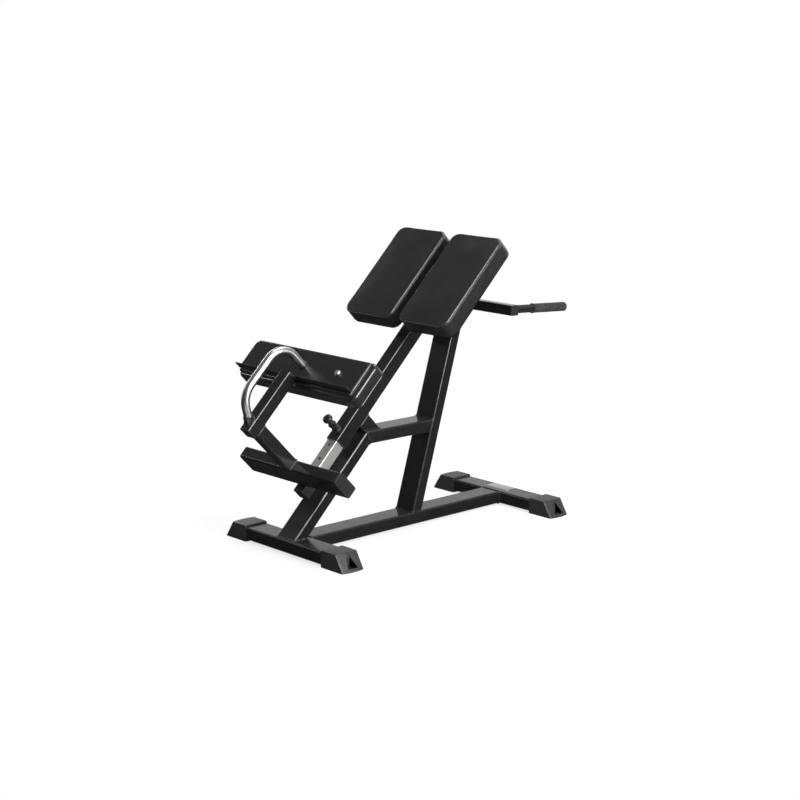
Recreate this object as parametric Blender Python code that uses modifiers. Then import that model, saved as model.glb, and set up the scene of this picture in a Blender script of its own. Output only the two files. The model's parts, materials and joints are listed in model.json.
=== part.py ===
"""Forty-five degree hyperextension bench, modelled in metres with +Z up.

X runs across the bench and +Y points to its hand grips. The origin lies on the floor, under the middle
of the bench's bounding box. Places on the slope are given as (s, n): s runs up the slope from the top of
the front floor tube, and n stands out from the front face of the front post, towards the user.
"""
import math
from dataclasses import dataclass

import bmesh
import bpy
from mathutils import Matrix, Vector

# Clearances and roundness
GAP = 0.0003
OVERCUT = 0.010
CORNER_STEPS = 3
ROUND_SIDES = 24

# Floor frame of flat rectangular tube
BASE_LENGTH = 1.2355
BASE_WIDTH = 0.678
MAIN_WIDTH = 0.100
MAIN_DEPTH = 0.050
MAIN_WALL = 0.003
MAIN_RADIUS = 0.008

# Boots over the ends of the floor tubes
BOOT_LENGTH = 0.125
BOOT_SIDE = 0.0030
BOOT_ROOF = 0.0070
BOOT_SOLE = 0.0070
BOOT_WALL = 0.0030
BOOT_SOCKET = 0.068
BOOT_SLOPE = 0.040
BOOT_BOW = 0.007
BOOT_ROUND = 0.004
BOOT_WINDOW_WIDTH = 0.049
BOOT_WINDOW_SILL = 0.011
BOOT_WINDOW_CROWN = 0.005
BOOT_WINDOW_TIP = 0.0045
BOOT_RIB = 0.010
BOOT_RIB_SETBACK = 0.036

# Slope, front post, brace and rear post
INCLINE = math.radians(45.0)
POST_SETBACK = 0.0140
BRACE_HEIGHT = 0.419
REAR_POST_FOOT = 0.629
REAR_POST_LEAN = math.radians(15.7)

# Sleeve that the carriage slides in, and the stub that carries it
SLEEVE_SIZE = 0.060
SLEEVE_WALL = 0.003
SLEEVE_RADIUS = 0.005
SLEEVE_STANDOFF = 0.025
SLEEVE_LOW = 0.409
SLEEVE_LENGTH = 0.951
STUB_SETBACK = 0.0320547
BUSH_FLANGE = 0.004
BUSH_DEPTH = 0.060
BUSH_CLEARANCE = 0.0003
PLUG_DEPTH = 0.018

# Inner tube and its row of holes
INNER_SIZE = 0.050
INNER_WALL = 0.003
INNER_RADIUS = 0.004
INNER_LENGTH = 0.620
INNER_DROP = 0.019
HOLE_PITCH = 0.065
HOLES_EACH_WAY = 2
HOLE_DIAMETER = 0.0110

# Spring pin with its pull knob
PIN_PLACE = 0.447
PIN_DIAMETER = 0.0095
PIN_TIP_SHORT = 0.0008
BARREL_DIAMETER = 0.024
BARREL_LENGTH = 0.040
BARREL_COLLAR = 0.030
COLLAR_LENGTH = 0.006
NUT_WIDTH = 0.032
NUT_HEIGHT = 0.012
KNOB_DIAMETER = 0.038
KNOB_LENGTH = 0.030
KNOB_NECK = 0.016
KNOB_RISE = 0.012

# Foot plate, arm and upright of the carriage
PLATE_PLACE = 0.187
PLATE_LENGTH = 0.530
PLATE_STANDOFF = 0.0067
PLATE_PAD_WIDTH = 0.044
ARM_SIZE = 0.050
ARM_WALL = 0.003
ARM_RADIUS = 0.005
ARM_LENGTH = 0.2145
UPRIGHT_DROP = 0.008
UPRIGHT_LENGTH = 0.268
CAP_FLANGE = 0.004

# Calf pad, its angle bracket and its board
ANGLE_THICKNESS = 0.004
ANGLE_LENGTH = 0.624
ANGLE_RISE = 0.129
ANGLE_FOOT = 0.029
ANGLE_CORNER = 0.018
CALF_BOARD_THICKNESS = 0.016
CALF_BOARD_HEIGHT = 0.148
CALF_BOARD_LENGTH = 0.620
CALF_BOARD_ROUND = 0.005
CALF_LENGTH = 0.650
CALF_HEIGHT = 0.173
CALF_THICKNESS = 0.059
CALF_ROUND = 0.016
CALF_BOLT_SPAN = 0.388
BOLT_HEAD = 0.017
BOLT_HEAD_HEIGHT = 0.0065
BOLT_WASHER = 0.023
BOLT_WASHER_HEIGHT = 0.002
BOLT_SHANK = 0.0098
BOLT_HOLE = 0.0110
BOLT_LENGTH = 0.018

# Bent round handle in front of the calf pad
LOOP_DIAMETER = 0.032
LOOP_WALL = 0.002
LOOP_BEND = 0.084
LOOP_REACH = 0.090
LOOP_LEG_ANGLE = math.radians(61.3)
LOOP_FOOT = 0.2115
LOOP_COLLAR_DIAMETER = 0.039
LOOP_COLLAR_LENGTH = 0.022

# Hip pads, their boards and the channels under them
PAD_LOW = 0.922
PAD_LENGTH = 0.446
PAD_WIDTH = 0.266
PAD_SPACING = 0.034
PAD_THICKNESS = 0.074
PAD_CORNER = 0.038
PAD_ROUND = 0.012
PAD_BOARD_THICKNESS = 0.012
PAD_BOARD_INSET = 0.012
CHANNEL_HEIGHT = 0.0145
CHANNEL_WIDTH = 0.050
CHANNEL_LENGTH = 0.480
CHANNEL_WALL = 0.003
CHANNEL_PLACES = (1.030, 1.265)

# Hand grips behind the pads
STAY_SIZE = 0.040
STAY_WALL = 0.003
STAY_RADIUS = 0.005
STAY_HEIGHT = 0.870
STAY_REACH = 0.322
GRIP_TILT = math.radians(3.0)
GRIP_TUBE = 0.032
GRIP_TUBE_WALL = 0.002
GRIP_TUBE_LENGTH = 0.293
GRIP_RUBBER = 0.036
GRIP_RUBBER_LENGTH = 0.190
GRIP_END_THICKNESS = 0.005

# Places worked out from the sizes above
TUBE_TOP = BOOT_SOLE + MAIN_DEPTH
TUBE_MIDDLE = BOOT_SOLE + MAIN_DEPTH / 2
FRONT_TUBE_MIDDLE = BOOT_SIDE + MAIN_WIDTH / 2
REAR_TUBE_MIDDLE = BASE_LENGTH - FRONT_TUBE_MIDDLE
BOOT_HEIGHT = TUBE_TOP + BOOT_ROOF
BOOT_DEPTH = MAIN_WIDTH + 2 * BOOT_SIDE
SLEEVE_FRONT = SLEEVE_STANDOFF + SLEEVE_SIZE
INNER_MIDDLE = SLEEVE_STANDOFF + SLEEVE_SIZE / 2
INNER_FRONT = INNER_MIDDLE + INNER_SIZE / 2
INNER_LOW = PLATE_PLACE - INNER_DROP
PLATE_REAR = INNER_FRONT + PLATE_STANDOFF
PLATE_FRONT = PLATE_REAR + MAIN_WIDTH
UPRIGHT_REAR = PLATE_FRONT + ARM_LENGTH
UPRIGHT_FRONT = UPRIGHT_REAR + ARM_SIZE
UPRIGHT_LOW = PLATE_PLACE - UPRIGHT_DROP
ANGLE_LOW = UPRIGHT_LOW + UPRIGHT_LENGTH
ANGLE_FRONT = UPRIGHT_REAR - 0.002
ANGLE_MIDDLE = ANGLE_LOW + ANGLE_RISE / 2
CALF_BOARD_FRONT = ANGLE_FRONT - ANGLE_THICKNESS
CALF_FRONT = CALF_BOARD_FRONT - CALF_BOARD_THICKNESS
LOOP_LEVEL = UPRIGHT_FRONT + LOOP_REACH
PAD_BASE = SLEEVE_FRONT + CHANNEL_HEIGHT + 2 * GAP
PAD_MIDDLE = PAD_LOW + PAD_LENGTH / 2


@dataclass(frozen=True)
class Place:
    """An empty that carries pieces, with its matrix in the world."""

    empty: bpy.types.Object
    world: Matrix


@dataclass(frozen=True)
class Finish:
    """Colour, roughness and metallic value of one sub-part."""

    colour: tuple
    roughness: float
    metallic: float


POWDER_BLACK = Finish((0.020, 0.020, 0.021), 0.42, 0.0)
BRUSHED_STEEL = Finish((0.62, 0.61, 0.58), 0.34, 1.0)
POLISHED_STEEL = Finish((0.74, 0.74, 0.73), 0.12, 1.0)
BLACK_PLASTIC = Finish((0.028, 0.028, 0.029), 0.60, 0.0)
BLACK_RUBBER = Finish((0.024, 0.024, 0.024), 0.80, 0.0)
BLACK_VINYL = Finish((0.022, 0.022, 0.023), 0.48, 0.0)
PLYWOOD = Finish((0.19, 0.13, 0.08), 0.75, 0.0)
GREY_PLASTIC = Finish((0.33, 0.33, 0.34), 0.50, 0.0)
ZINC = Finish((0.66, 0.67, 0.69), 0.30, 1.0)


def clear_scene():
    """Remove the objects of the starting scene."""
    for item in list(bpy.data.objects):
        bpy.data.objects.remove(item, do_unlink=True)


def new_collection(name):
    """Return a new collection linked to the scene."""
    group = bpy.data.collections.new(name)
    bpy.context.scene.collection.children.link(group)
    return group


def new_place(name, parent, local):
    """Return an empty at a local matrix under its parent place."""
    empty = bpy.data.objects.new(name, None)
    PARTS.objects.link(empty)
    if parent is None:
        world = local.copy()
    else:
        empty.parent = parent.empty
        world = parent.world @ local
    empty.matrix_basis = local
    return Place(empty, world)


def moved(x, y, z):
    """Return a translation matrix."""
    return Matrix.Translation((x, y, z))


def turned(angle, axis):
    """Return a rotation matrix about one axis."""
    return Matrix.Rotation(angle, 4, axis)


def slope(s, n, x=0.0):
    """Return a place on the slope in the slope's own axes, whose Y runs against n."""
    return Vector((x, -n, s))


def make_material(name, finish):
    """Return a Principled material with the finish of one sub-part."""
    material = bpy.data.materials.new(name)
    material.use_nodes = True
    shader = material.node_tree.nodes["Principled BSDF"]
    shader.inputs["Base Color"].default_value = (*finish.colour, 1.0)
    shader.inputs["Roughness"].default_value = finish.roughness
    shader.inputs["Metallic"].default_value = finish.metallic
    material.diffuse_color = (*finish.colour, 1.0)
    return material


def add_part(name, mesh, place, local, finish):
    """Put a mesh in the scene as one named sub-part."""
    part = bpy.data.objects.new(name, mesh)
    PARTS.objects.link(part)
    part.parent = place.empty
    part.matrix_basis = local
    mesh.materials.append(make_material(name + "_finish", finish))
    mesh.shade_smooth()
    mesh.set_sharp_from_angle(angle=math.radians(35.0))
    return part


def add_cutter(name, mesh, place, local):
    """Put a mesh in the scene as a cutter, which is never drawn."""
    cutter = bpy.data.objects.new(name, mesh)
    CUTTERS.objects.link(cutter)
    cutter.parent = place.empty
    cutter.matrix_basis = local
    cutter.hide_render = True
    cutter.display_type = "WIRE"
    return cutter


def apply_boolean(part, cutter, operation="DIFFERENCE"):
    """Cut or join a part with another closed mesh."""
    modifier = part.modifiers.new(cutter.name, "BOOLEAN")
    modifier.operation = operation
    modifier.solver = "EXACT"
    modifier.object = cutter


def mesh_from(form, name):
    """Write an edited form to a new mesh with its faces pointing out."""
    bmesh.ops.recalc_face_normals(form, faces=form.faces)
    mesh = bpy.data.meshes.new(name)
    form.to_mesh(mesh)
    form.free()
    return mesh


def form_of_curve(curve):
    """Return an editable form of a curve, with its caps welded on."""
    stand_in = bpy.data.objects.new(curve.name, curve)
    PARTS.objects.link(stand_in)
    depsgraph = bpy.context.evaluated_depsgraph_get()
    drawn = bpy.data.meshes.new_from_object(stand_in.evaluated_get(depsgraph))
    form = bmesh.new()
    form.from_mesh(drawn)
    bmesh.ops.remove_doubles(form, verts=form.verts, dist=0.00001)
    bpy.data.objects.remove(stand_in, do_unlink=True)
    bpy.data.curves.remove(curve)
    bpy.data.meshes.remove(drawn)
    return form


def add_outline(curve, points):
    """Add one closed outline to a flat curve."""
    spline = curve.splines.new("POLY")
    spline.points.add(len(points) - 1)
    for target, point in zip(spline.points, points):
        target.co = (point[0], point[1], 0.0, 1.0)
    spline.use_cyclic_u = True


def rounded_outline(width, height, radius):
    """Return the points of a rectangle with round corners, centred on the origin."""
    points = []
    reach = Vector((width / 2 - radius, height / 2 - radius))
    for corner, (side_x, side_y) in enumerate(((1, 1), (-1, 1), (-1, -1), (1, -1))):
        for step in range(CORNER_STEPS + 1):
            angle = math.pi / 2 * (corner + step / CORNER_STEPS)
            points.append((side_x * reach.x + radius * math.cos(angle),
                           side_y * reach.y + radius * math.sin(angle)))
    return points


def flat_form(name, outlines, thickness):
    """Return a flat solid between z = 0 and its thickness, with later outlines as its holes."""
    curve = bpy.data.curves.new(name, "CURVE")
    curve.dimensions = "2D"
    curve.fill_mode = "BOTH"
    curve.extrude = thickness / 2
    for outline in outlines:
        add_outline(curve, outline)
    form = form_of_curve(curve)
    bmesh.ops.translate(form, verts=form.verts, vec=(0.0, 0.0, thickness / 2))
    return form


def tube_form(name, width, depth, wall, radius, length):
    """Return a rectangular tube that runs up from z = 0, open at both ends."""
    bore = rounded_outline(width - 2 * wall, depth - 2 * wall, max(radius - wall, wall / 3))
    return flat_form(name, (rounded_outline(width, depth, radius), bore), length)


def trim(form, world, point, normal):
    """Cut away what lies beyond a plane given in the world, and close the open end."""
    back = world.inverted()
    bmesh.ops.bisect_plane(form, geom=[*form.verts, *form.edges, *form.faces], dist=0.000001,
                           plane_co=back @ Vector(point), plane_no=back.to_3x3() @ Vector(normal),
                           clear_outer=True)
    rim = [edge for edge in form.edges if edge.is_boundary]
    around = {face for edge in rim for face in edge.link_faces}
    if len(rim) % 2 == 0 and len(loops_of(rim)) == 2:
        bmesh.ops.bridge_loops(form, edges=rim)
    elif around:
        bmesh.ops.holes_fill(form, edges=rim)


def loops_of(edges):
    """Return the closed loops that a set of edges falls into."""
    left = set(edges)
    loops = []
    while left:
        front = [left.pop()]
        loop = set(front)
        while front:
            edge = front.pop()
            near = {other for vert in edge.verts for other in vert.link_edges if other in left}
            left -= near
            loop |= near
            front.extend(near)
        loops.append(loop)
    return loops


def box_form(size, radius=0.0, steps=2):
    """Return a box centred on the origin with all its edges rounded."""
    form = bmesh.new()
    bmesh.ops.create_cube(form, size=1.0)
    bmesh.ops.scale(form, verts=form.verts, vec=size)
    if radius:
        bmesh.ops.bevel(form, geom=form.edges, offset=radius, segments=steps, profile=0.5,
                        affect="EDGES", clamp_overlap=True)
    return form


def cylinder_form(diameter, length, sides=ROUND_SIDES):
    """Return a cylinder that runs up from z = 0."""
    form = bmesh.new()
    bmesh.ops.create_cone(form, cap_ends=True, segments=sides, radius1=diameter / 2,
                          radius2=diameter / 2, depth=length)
    bmesh.ops.translate(form, verts=form.verts, vec=(0.0, 0.0, length / 2))
    return form


def turned_part(name, profile, place, local, finish):
    """Add a turned piece from its half profile, which starts and ends on the axis or runs round a bore."""
    form = bmesh.new()
    verts = [form.verts.new((radius, 0.0, height)) for radius, height in profile]
    for first, second in zip(verts, verts[1:]):
        form.edges.new((first, second))
    if profile[0][0] > 0.0:
        form.edges.new((verts[-1], verts[0]))
    mesh = bpy.data.meshes.new(name)
    form.to_mesh(mesh)
    form.free()
    part = add_part(name, mesh, place, local, finish)
    screw = part.modifiers.new("Turn", "SCREW")
    screw.steps = ROUND_SIDES
    screw.render_steps = ROUND_SIDES
    screw.use_merge_vertices = True
    screw.merge_threshold = 0.00001
    return part


def add_tube(name, place, local, section, length, finish, planes=()):
    """Add a rectangular tube, cut at its ends by planes that are given in the world."""
    form = tube_form(name, *section, length)
    for point, normal in planes:
        trim(form, place.world @ local, point, normal)
    return add_part(name, mesh_from(form, name), place, local, finish)


def add_plug(name, place, local, section, flange, depth, finish):
    """Add a plastic plug whose flange lies below z = 0 and whose body fills the tube above it."""
    width, height, wall, radius = section
    slack = 2 * (wall + GAP)
    head = flat_form(name, (rounded_outline(width, height, radius),), flange)
    bmesh.ops.translate(head, verts=head.verts, vec=(0.0, 0.0, -flange))
    body_outline = rounded_outline(width - slack, height - slack, max(radius - wall, wall / 3))
    body = flat_form(name + "_body", (body_outline,), depth + flange / 2)
    bmesh.ops.translate(body, verts=body.verts, vec=(0.0, 0.0, -flange / 2))
    plug = add_part(name, mesh_from(head, name), place, local, finish)
    apply_boolean(plug, add_cutter(name + "_body", mesh_from(body, name), place, local), "UNION")
    return plug


MAIN = (MAIN_WIDTH, MAIN_DEPTH, MAIN_WALL, MAIN_RADIUS)
MAIN_ON_EDGE = (MAIN_DEPTH, MAIN_WIDTH, MAIN_WALL, MAIN_RADIUS)
SLEEVE = (SLEEVE_SIZE, SLEEVE_SIZE, SLEEVE_WALL, SLEEVE_RADIUS)
INNER = (INNER_SIZE, INNER_SIZE, INNER_WALL, INNER_RADIUS)
ARM = (ARM_SIZE, ARM_SIZE, ARM_WALL, ARM_RADIUS)
STAY = (STAY_SIZE, STAY_SIZE, STAY_WALL, STAY_RADIUS)

ALONG_X = turned(math.pi / 2, "Y")
ALONG_Y = turned(-math.pi / 2, "X")
OUT_OF_SLOPE = turned(math.pi / 2, "X")
INTO_SLOPE = turned(-math.pi / 2, "X")


def loop_leg_start():
    """Return where the handle's lower bend begins on the slope, as (s, n) and its arc's middle."""
    middle_n = LOOP_LEVEL - LOOP_BEND
    turn_n = middle_n + LOOP_BEND * math.cos(LOOP_LEG_ANGLE)
    run = (turn_n - UPRIGHT_FRONT) / math.tan(LOOP_LEG_ANGLE)
    turn_s = LOOP_FOOT + run
    return (turn_s, turn_n), (turn_s + LOOP_BEND * math.sin(LOOP_LEG_ANGLE), middle_n)


def bench_shift():
    """Return how far the floor frame lies from the middle of the whole bench along Y."""
    _, (arc_s, arc_n) = loop_leg_start()
    arc_y = POST_SETBACK + arc_s * math.cos(INCLINE) - arc_n * math.sin(INCLINE)
    foremost = arc_y - LOOP_BEND - LOOP_DIAMETER / 2
    return -(min(foremost, 0.0) + BASE_LENGTH) / 2


def add_cross_tube(name, base, middle):
    """Add one floor tube that runs across the bench."""
    length = BASE_WIDTH - 2 * (BOOT_LENGTH - BOOT_SOCKET + GAP)
    local = moved(-length / 2, middle, TUBE_MIDDLE) @ ALONG_X
    add_tube(name, base, local, MAIN_ON_EDGE, length, POWDER_BLACK)


def boot_outline(side, start, end, half):
    """Return a boot's outline on the floor, from its straight start to its bowed outer end."""
    bow_radius = (BOOT_DEPTH * BOOT_DEPTH / 4 + BOOT_BOW * BOOT_BOW) / (2 * BOOT_BOW)
    reach = math.asin(half / bow_radius)
    steps = 2 * CORNER_STEPS
    bow = []
    for step in range(steps + 1):
        angle = reach * (2 * step / steps - 1)
        sagitta = bow_radius * (1 - math.cos(angle))
        bow.append((side * (end - sagitta), bow_radius * math.sin(angle)))
    return [(side * start, half), (side * start, -half), *bow]


def boot_block(name, side, start, end, half, low, high):
    """Return a solid between two heights, whose bowed outer end leans in as the boot's own end does."""
    form = flat_form(name, (boot_outline(side, start, end, half),), high - low)
    bmesh.ops.translate(form, verts=form.verts, vec=(0.0, 0.0, low))
    bmesh.ops.dissolve_limit(form, angle_limit=0.01, verts=form.verts, edges=form.edges)
    middle = (start + end) / 2
    for vert in form.verts:
        if abs(vert.co.x) > middle:
            vert.co.x -= side * BOOT_SLOPE * vert.co.z / BOOT_HEIGHT
    return form


def add_boot(name, base, side, middle):
    """Add one boot: a shell with a socket for the tube, and a window in its sloping outer end."""
    local = moved(0.0, middle, 0.0)
    start = BASE_WIDTH / 2 - BOOT_LENGTH
    form = boot_block(name, side, start, BASE_WIDTH / 2, BOOT_DEPTH / 2, 0.0, BOOT_HEIGHT)
    upper = [edge for edge in form.edges if max(vert.co.z for vert in edge.verts) > BOOT_SOLE
             and edge.calc_face_angle() > math.radians(20.0)]
    bmesh.ops.bevel(form, geom=upper, offset=BOOT_ROUND, segments=2, profile=0.5, affect="EDGES",
                    clamp_overlap=True)
    boot = add_part(name, mesh_from(form, name), base, local, BLACK_PLASTIC)
    apply_boolean(boot, boot_socket(name, base, side, start, local))
    hollow_end = BASE_WIDTH / 2 - BOOT_WALL * math.hypot(BOOT_SLOPE, BOOT_HEIGHT) / BOOT_HEIGHT
    hollow = boot_block(name + "_hollow", side, start + BOOT_SOCKET + BOOT_WALL, hollow_end,
                        BOOT_DEPTH / 2 - BOOT_WALL, BOOT_SOLE, BOOT_HEIGHT - BOOT_WALL)
    apply_boolean(boot, add_cutter(name + "_hollow", mesh_from(hollow, "hollow"), base, local))
    apply_boolean(boot, boot_window(name, base, side, local))
    apply_boolean(boot, boot_rib(name, base, side, hollow_end, local), "UNION")


def boot_socket(name, base, side, start, local):
    """Return the cutter for the socket that the floor tube sits in."""
    outline = rounded_outline(MAIN_DEPTH + 2 * GAP, MAIN_WIDTH + 2 * GAP, MAIN_RADIUS + GAP)
    socket = flat_form(name + "_socket", (outline,), BOOT_SOCKET + OVERCUT)
    spot = local @ moved(side * (start - OVERCUT), 0.0, TUBE_MIDDLE) @ turned(side * math.pi / 2, "Y")
    return add_cutter(name + "_socket", mesh_from(socket, name), base, spot)


def boot_window(name, base, side, local):
    """Return the cutter for the three-cornered window in the boot's end, round at its crown."""
    half = BOOT_WINDOW_WIDTH / 2
    crown = BOOT_HEIGHT - BOOT_WINDOW_CROWN - BOOT_WINDOW_TIP
    lean = math.atan2(half - BOOT_WINDOW_TIP, crown - BOOT_WINDOW_SILL)
    tip = []
    for step in range(2 * CORNER_STEPS + 1):
        angle = lean + (math.pi - 2 * lean) * step / (2 * CORNER_STEPS)
        tip.append((BOOT_WINDOW_TIP * math.cos(angle), crown + BOOT_WINDOW_TIP * math.sin(angle)))
    outline = [(-half, BOOT_WINDOW_SILL), (half, BOOT_WINDOW_SILL), *tip]
    depth = BOOT_LENGTH - BOOT_SOCKET - 2 * BOOT_WALL
    window = flat_form(name + "_window", (outline,), depth + OVERCUT)
    upright = turned(side * math.pi / 2, "Z") @ turned(math.pi / 2, "X")
    spot = local @ moved(side * (BASE_WIDTH / 2 - depth), 0.0, 0.0) @ upright
    return add_cutter(name + "_window", mesh_from(window, "window"), base, spot)


def boot_rib(name, base, side, hollow_end, local):
    """Return the round rib that stands in the hollow behind the window, cut to the slope of its end."""
    rib = cylinder_form(BOOT_RIB, BOOT_HEIGHT, sides=12)
    spot = local @ moved(side * (BASE_WIDTH / 2 - BOOT_RIB_SETBACK), 0.0, BOOT_SOLE / 2)
    end = base.world @ Vector((side * hollow_end, 0.0, 0.0))
    trim(rib, base.world @ spot, end, Vector((side * BOOT_HEIGHT, 0.0, BOOT_SLOPE)).normalized())
    return add_cutter(name + "_rib", mesh_from(rib, "rib"), base, spot)


def add_floor_frame(base):
    """Add the two cross tubes, the tube between them and the four boots."""
    add_cross_tube("front_cross_tube", base, FRONT_TUBE_MIDDLE)
    add_cross_tube("rear_cross_tube", base, REAR_TUBE_MIDDLE)
    start = FRONT_TUBE_MIDDLE + MAIN_WIDTH / 2 + GAP
    length = REAR_TUBE_MIDDLE - FRONT_TUBE_MIDDLE - MAIN_WIDTH - 2 * GAP
    add_tube("base_tube", base, moved(0.0, start, TUBE_MIDDLE) @ ALONG_Y, MAIN, length, POWDER_BLACK)
    for end, middle in (("front", FRONT_TUBE_MIDDLE), ("rear", REAR_TUBE_MIDDLE)):
        for hand, side in (("left", -1), ("right", 1)):
            add_boot(f"{end}_{hand}_boot", base, side, middle)


def elbow_run():
    """Return how far up the slope the front post turns into the brace."""
    return (BRACE_HEIGHT - TUBE_TOP) / math.sin(INCLINE)


def elbow(base):
    """Return a point and the upward normal of the mitre between front post and brace."""
    point = base.world @ Vector((0.0, POST_SETBACK + elbow_run() * math.cos(INCLINE), BRACE_HEIGHT))
    normal = Vector((0.0, math.cos(INCLINE / 2), math.sin(INCLINE / 2)))
    return point, normal


def rear_post_face(base):
    """Return a point and the outward normal of the rear post's front face."""
    point = base.world @ Vector((0.0, REAR_POST_FOOT, TUBE_TOP))
    return point, Vector((0.0, -math.cos(REAR_POST_LEAN), math.sin(REAR_POST_LEAN)))


def slope_normal():
    """Return the direction that n runs in, in the world."""
    return Vector((0.0, -math.sin(INCLINE), math.cos(INCLINE)))


def add_posts(base, incline):
    """Add the front post, the brace that it turns into, and the rear post."""
    floor_top = base.world @ Vector((0.0, 0.0, TUBE_TOP + GAP))
    down = Vector((0.0, 0.0, -1.0))
    corner, up_slope = elbow(base)
    face, face_normal = rear_post_face(base)
    spare = 2 * MAIN_WIDTH
    reach = elbow_run() + 2 * spare
    local = Matrix.Translation(slope(-spare, -MAIN_DEPTH / 2))
    add_tube("front_post", incline, local, MAIN, reach, POWDER_BLACK,
             ((floor_top, down), (corner - up_slope * GAP / 2, up_slope)))
    start = (base.world.inverted() @ corner).y - spare
    local = moved(0.0, start, BRACE_HEIGHT - MAIN_DEPTH / 2) @ ALONG_Y
    add_tube("brace", base, local, MAIN, BASE_LENGTH, POWDER_BLACK,
             ((corner + up_slope * GAP / 2, -up_slope), (face + face_normal * GAP, -face_normal)))
    foot = moved(0.0, REAR_POST_FOOT, TUBE_TOP) @ turned(-REAR_POST_LEAN, "X")
    local = foot @ moved(0.0, MAIN_DEPTH / 2, -spare)
    under_sleeve = incline.world @ slope(0.0, SLEEVE_STANDOFF - GAP)
    add_tube("rear_post", base, local, MAIN, 2 * BASE_LENGTH, POWDER_BLACK,
             ((floor_top, down), (under_sleeve, slope_normal())))


def add_sleeve(base, incline):
    """Add the sleeve, the stub that holds it off the brace, its bush and its top cap."""
    local = Matrix.Translation(slope(SLEEVE_LOW, INNER_MIDDLE))
    sleeve = add_tube("sleeve", incline, local, SLEEVE, SLEEVE_LENGTH, POWDER_BLACK)
    hole = cylinder_form(PIN_DIAMETER + 4 * GAP, SLEEVE_WALL + 2 * OVERCUT)
    spot = Matrix.Translation(slope(PIN_PLACE, SLEEVE_FRONT - SLEEVE_WALL - OVERCUT)) @ OUT_OF_SLOPE
    apply_boolean(sleeve, add_cutter("sleeve_pin_hole", mesh_from(hole, "hole"), incline, spot))
    brace_top = base.world @ Vector((0.0, 0.0, BRACE_HEIGHT + GAP))
    local = Matrix.Translation(slope(elbow_run() + STUB_SETBACK, SLEEVE_STANDOFF - GAP)) @ INTO_SLOPE
    add_tube("sleeve_stub", incline, local, SLEEVE, BRACE_HEIGHT, POWDER_BLACK,
             ((brace_top, Vector((0.0, 0.0, -1.0))),))
    add_bush(incline)
    local = Matrix.Translation(slope(SLEEVE_LOW + SLEEVE_LENGTH + GAP, INNER_MIDDLE)) @ turned(math.pi, "X")
    add_plug("sleeve_cap", incline, local, SLEEVE, CAP_FLANGE, PLUG_DEPTH, BLACK_PLASTIC)


def add_bush(incline):
    """Add the plastic bush that guides the inner tube at the sleeve's mouth."""
    local = Matrix.Translation(slope(SLEEVE_LOW - GAP, INNER_MIDDLE))
    bush = add_plug("sleeve_bush", incline, local, SLEEVE, BUSH_FLANGE, BUSH_DEPTH, BLACK_PLASTIC)
    size = INNER_SIZE + 2 * BUSH_CLEARANCE
    length = BUSH_FLANGE + BUSH_DEPTH + 2 * OVERCUT
    bore = flat_form("bush_bore", (rounded_outline(size, size, INNER_RADIUS),), length)
    spot = local @ moved(0.0, 0.0, -BUSH_FLANGE - OVERCUT)
    apply_boolean(bush, add_cutter("sleeve_bush_bore", mesh_from(bore, "bore"), incline, spot))


def add_pin(incline, pin):
    """Add the fixed nut and barrel of the spring pin, then the pin and the knob that pull out."""
    seat = Matrix.Translation(slope(PIN_PLACE, SLEEVE_FRONT + GAP)) @ OUT_OF_SLOPE
    bore = PIN_DIAMETER / 2 + GAP
    nut = cylinder_form(NUT_WIDTH / math.cos(math.pi / 6), NUT_HEIGHT, sides=6)
    nut_part = add_part("pin_nut", mesh_from(nut, "pin_nut"), incline, seat, BLACK_PLASTIC)
    drill = cylinder_form(BARREL_DIAMETER + 2 * GAP, NUT_HEIGHT + 2 * OVERCUT)
    spot = seat @ moved(0.0, 0.0, -OVERCUT)
    apply_boolean(nut_part, add_cutter("pin_nut_bore", mesh_from(drill, "drill"), incline, spot))
    collar = BARREL_LENGTH - COLLAR_LENGTH
    barrel = ((bore, BARREL_LENGTH), (BARREL_COLLAR / 2, BARREL_LENGTH), (BARREL_COLLAR / 2, collar),
              (BARREL_DIAMETER / 2, collar), (BARREL_DIAMETER / 2, 0.0), (bore, 0.0))
    turned_part("pin_barrel", barrel, incline, seat, BLACK_PLASTIC)
    rise = SLEEVE_WALL - PIN_TIP_SHORT + GAP
    socket = KNOB_LENGTH * 0.6
    knob_low = BARREL_LENGTH + KNOB_RISE
    shaft = cylinder_form(PIN_DIAMETER, rise + knob_low + socket - GAP, sides=16)
    tip = moved(0.0, 0.0, -rise)
    add_part("lock_pin", mesh_from(shaft, "lock_pin"), pin, tip, ZINC)
    add_knob(pin, bore, knob_low, socket)


def add_knob(pin, bore, low, socket):
    """Add the knob with its neck, its domed head and the socket that the pin sits in."""
    head = KNOB_LENGTH * 0.36
    crown = KNOB_LENGTH - head
    profile = [(0.0, low + socket), (bore, low + socket), (bore, low), (KNOB_NECK / 2, low),
               (KNOB_NECK / 2, low + head * 0.7), (KNOB_DIAMETER * 0.44, low + head)]
    for step in range(5):
        angle = math.pi / 2 * step / 5
        rise = 0.35 + 0.65 * math.sin(angle)
        profile.append((KNOB_DIAMETER / 2 * math.cos(angle), low + head + crown * rise))
    profile.append((0.0, low + KNOB_LENGTH))
    profile.reverse()
    turned_part("pull_knob", profile, pin, Matrix.Identity(4), BLACK_PLASTIC)


def on_carriage(s, n, x=0.0):
    """Return a place on the slope in the carriage's own axes."""
    return Matrix.Translation(slope(s, n, x) - slope(PLATE_PLACE, INNER_MIDDLE))


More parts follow.
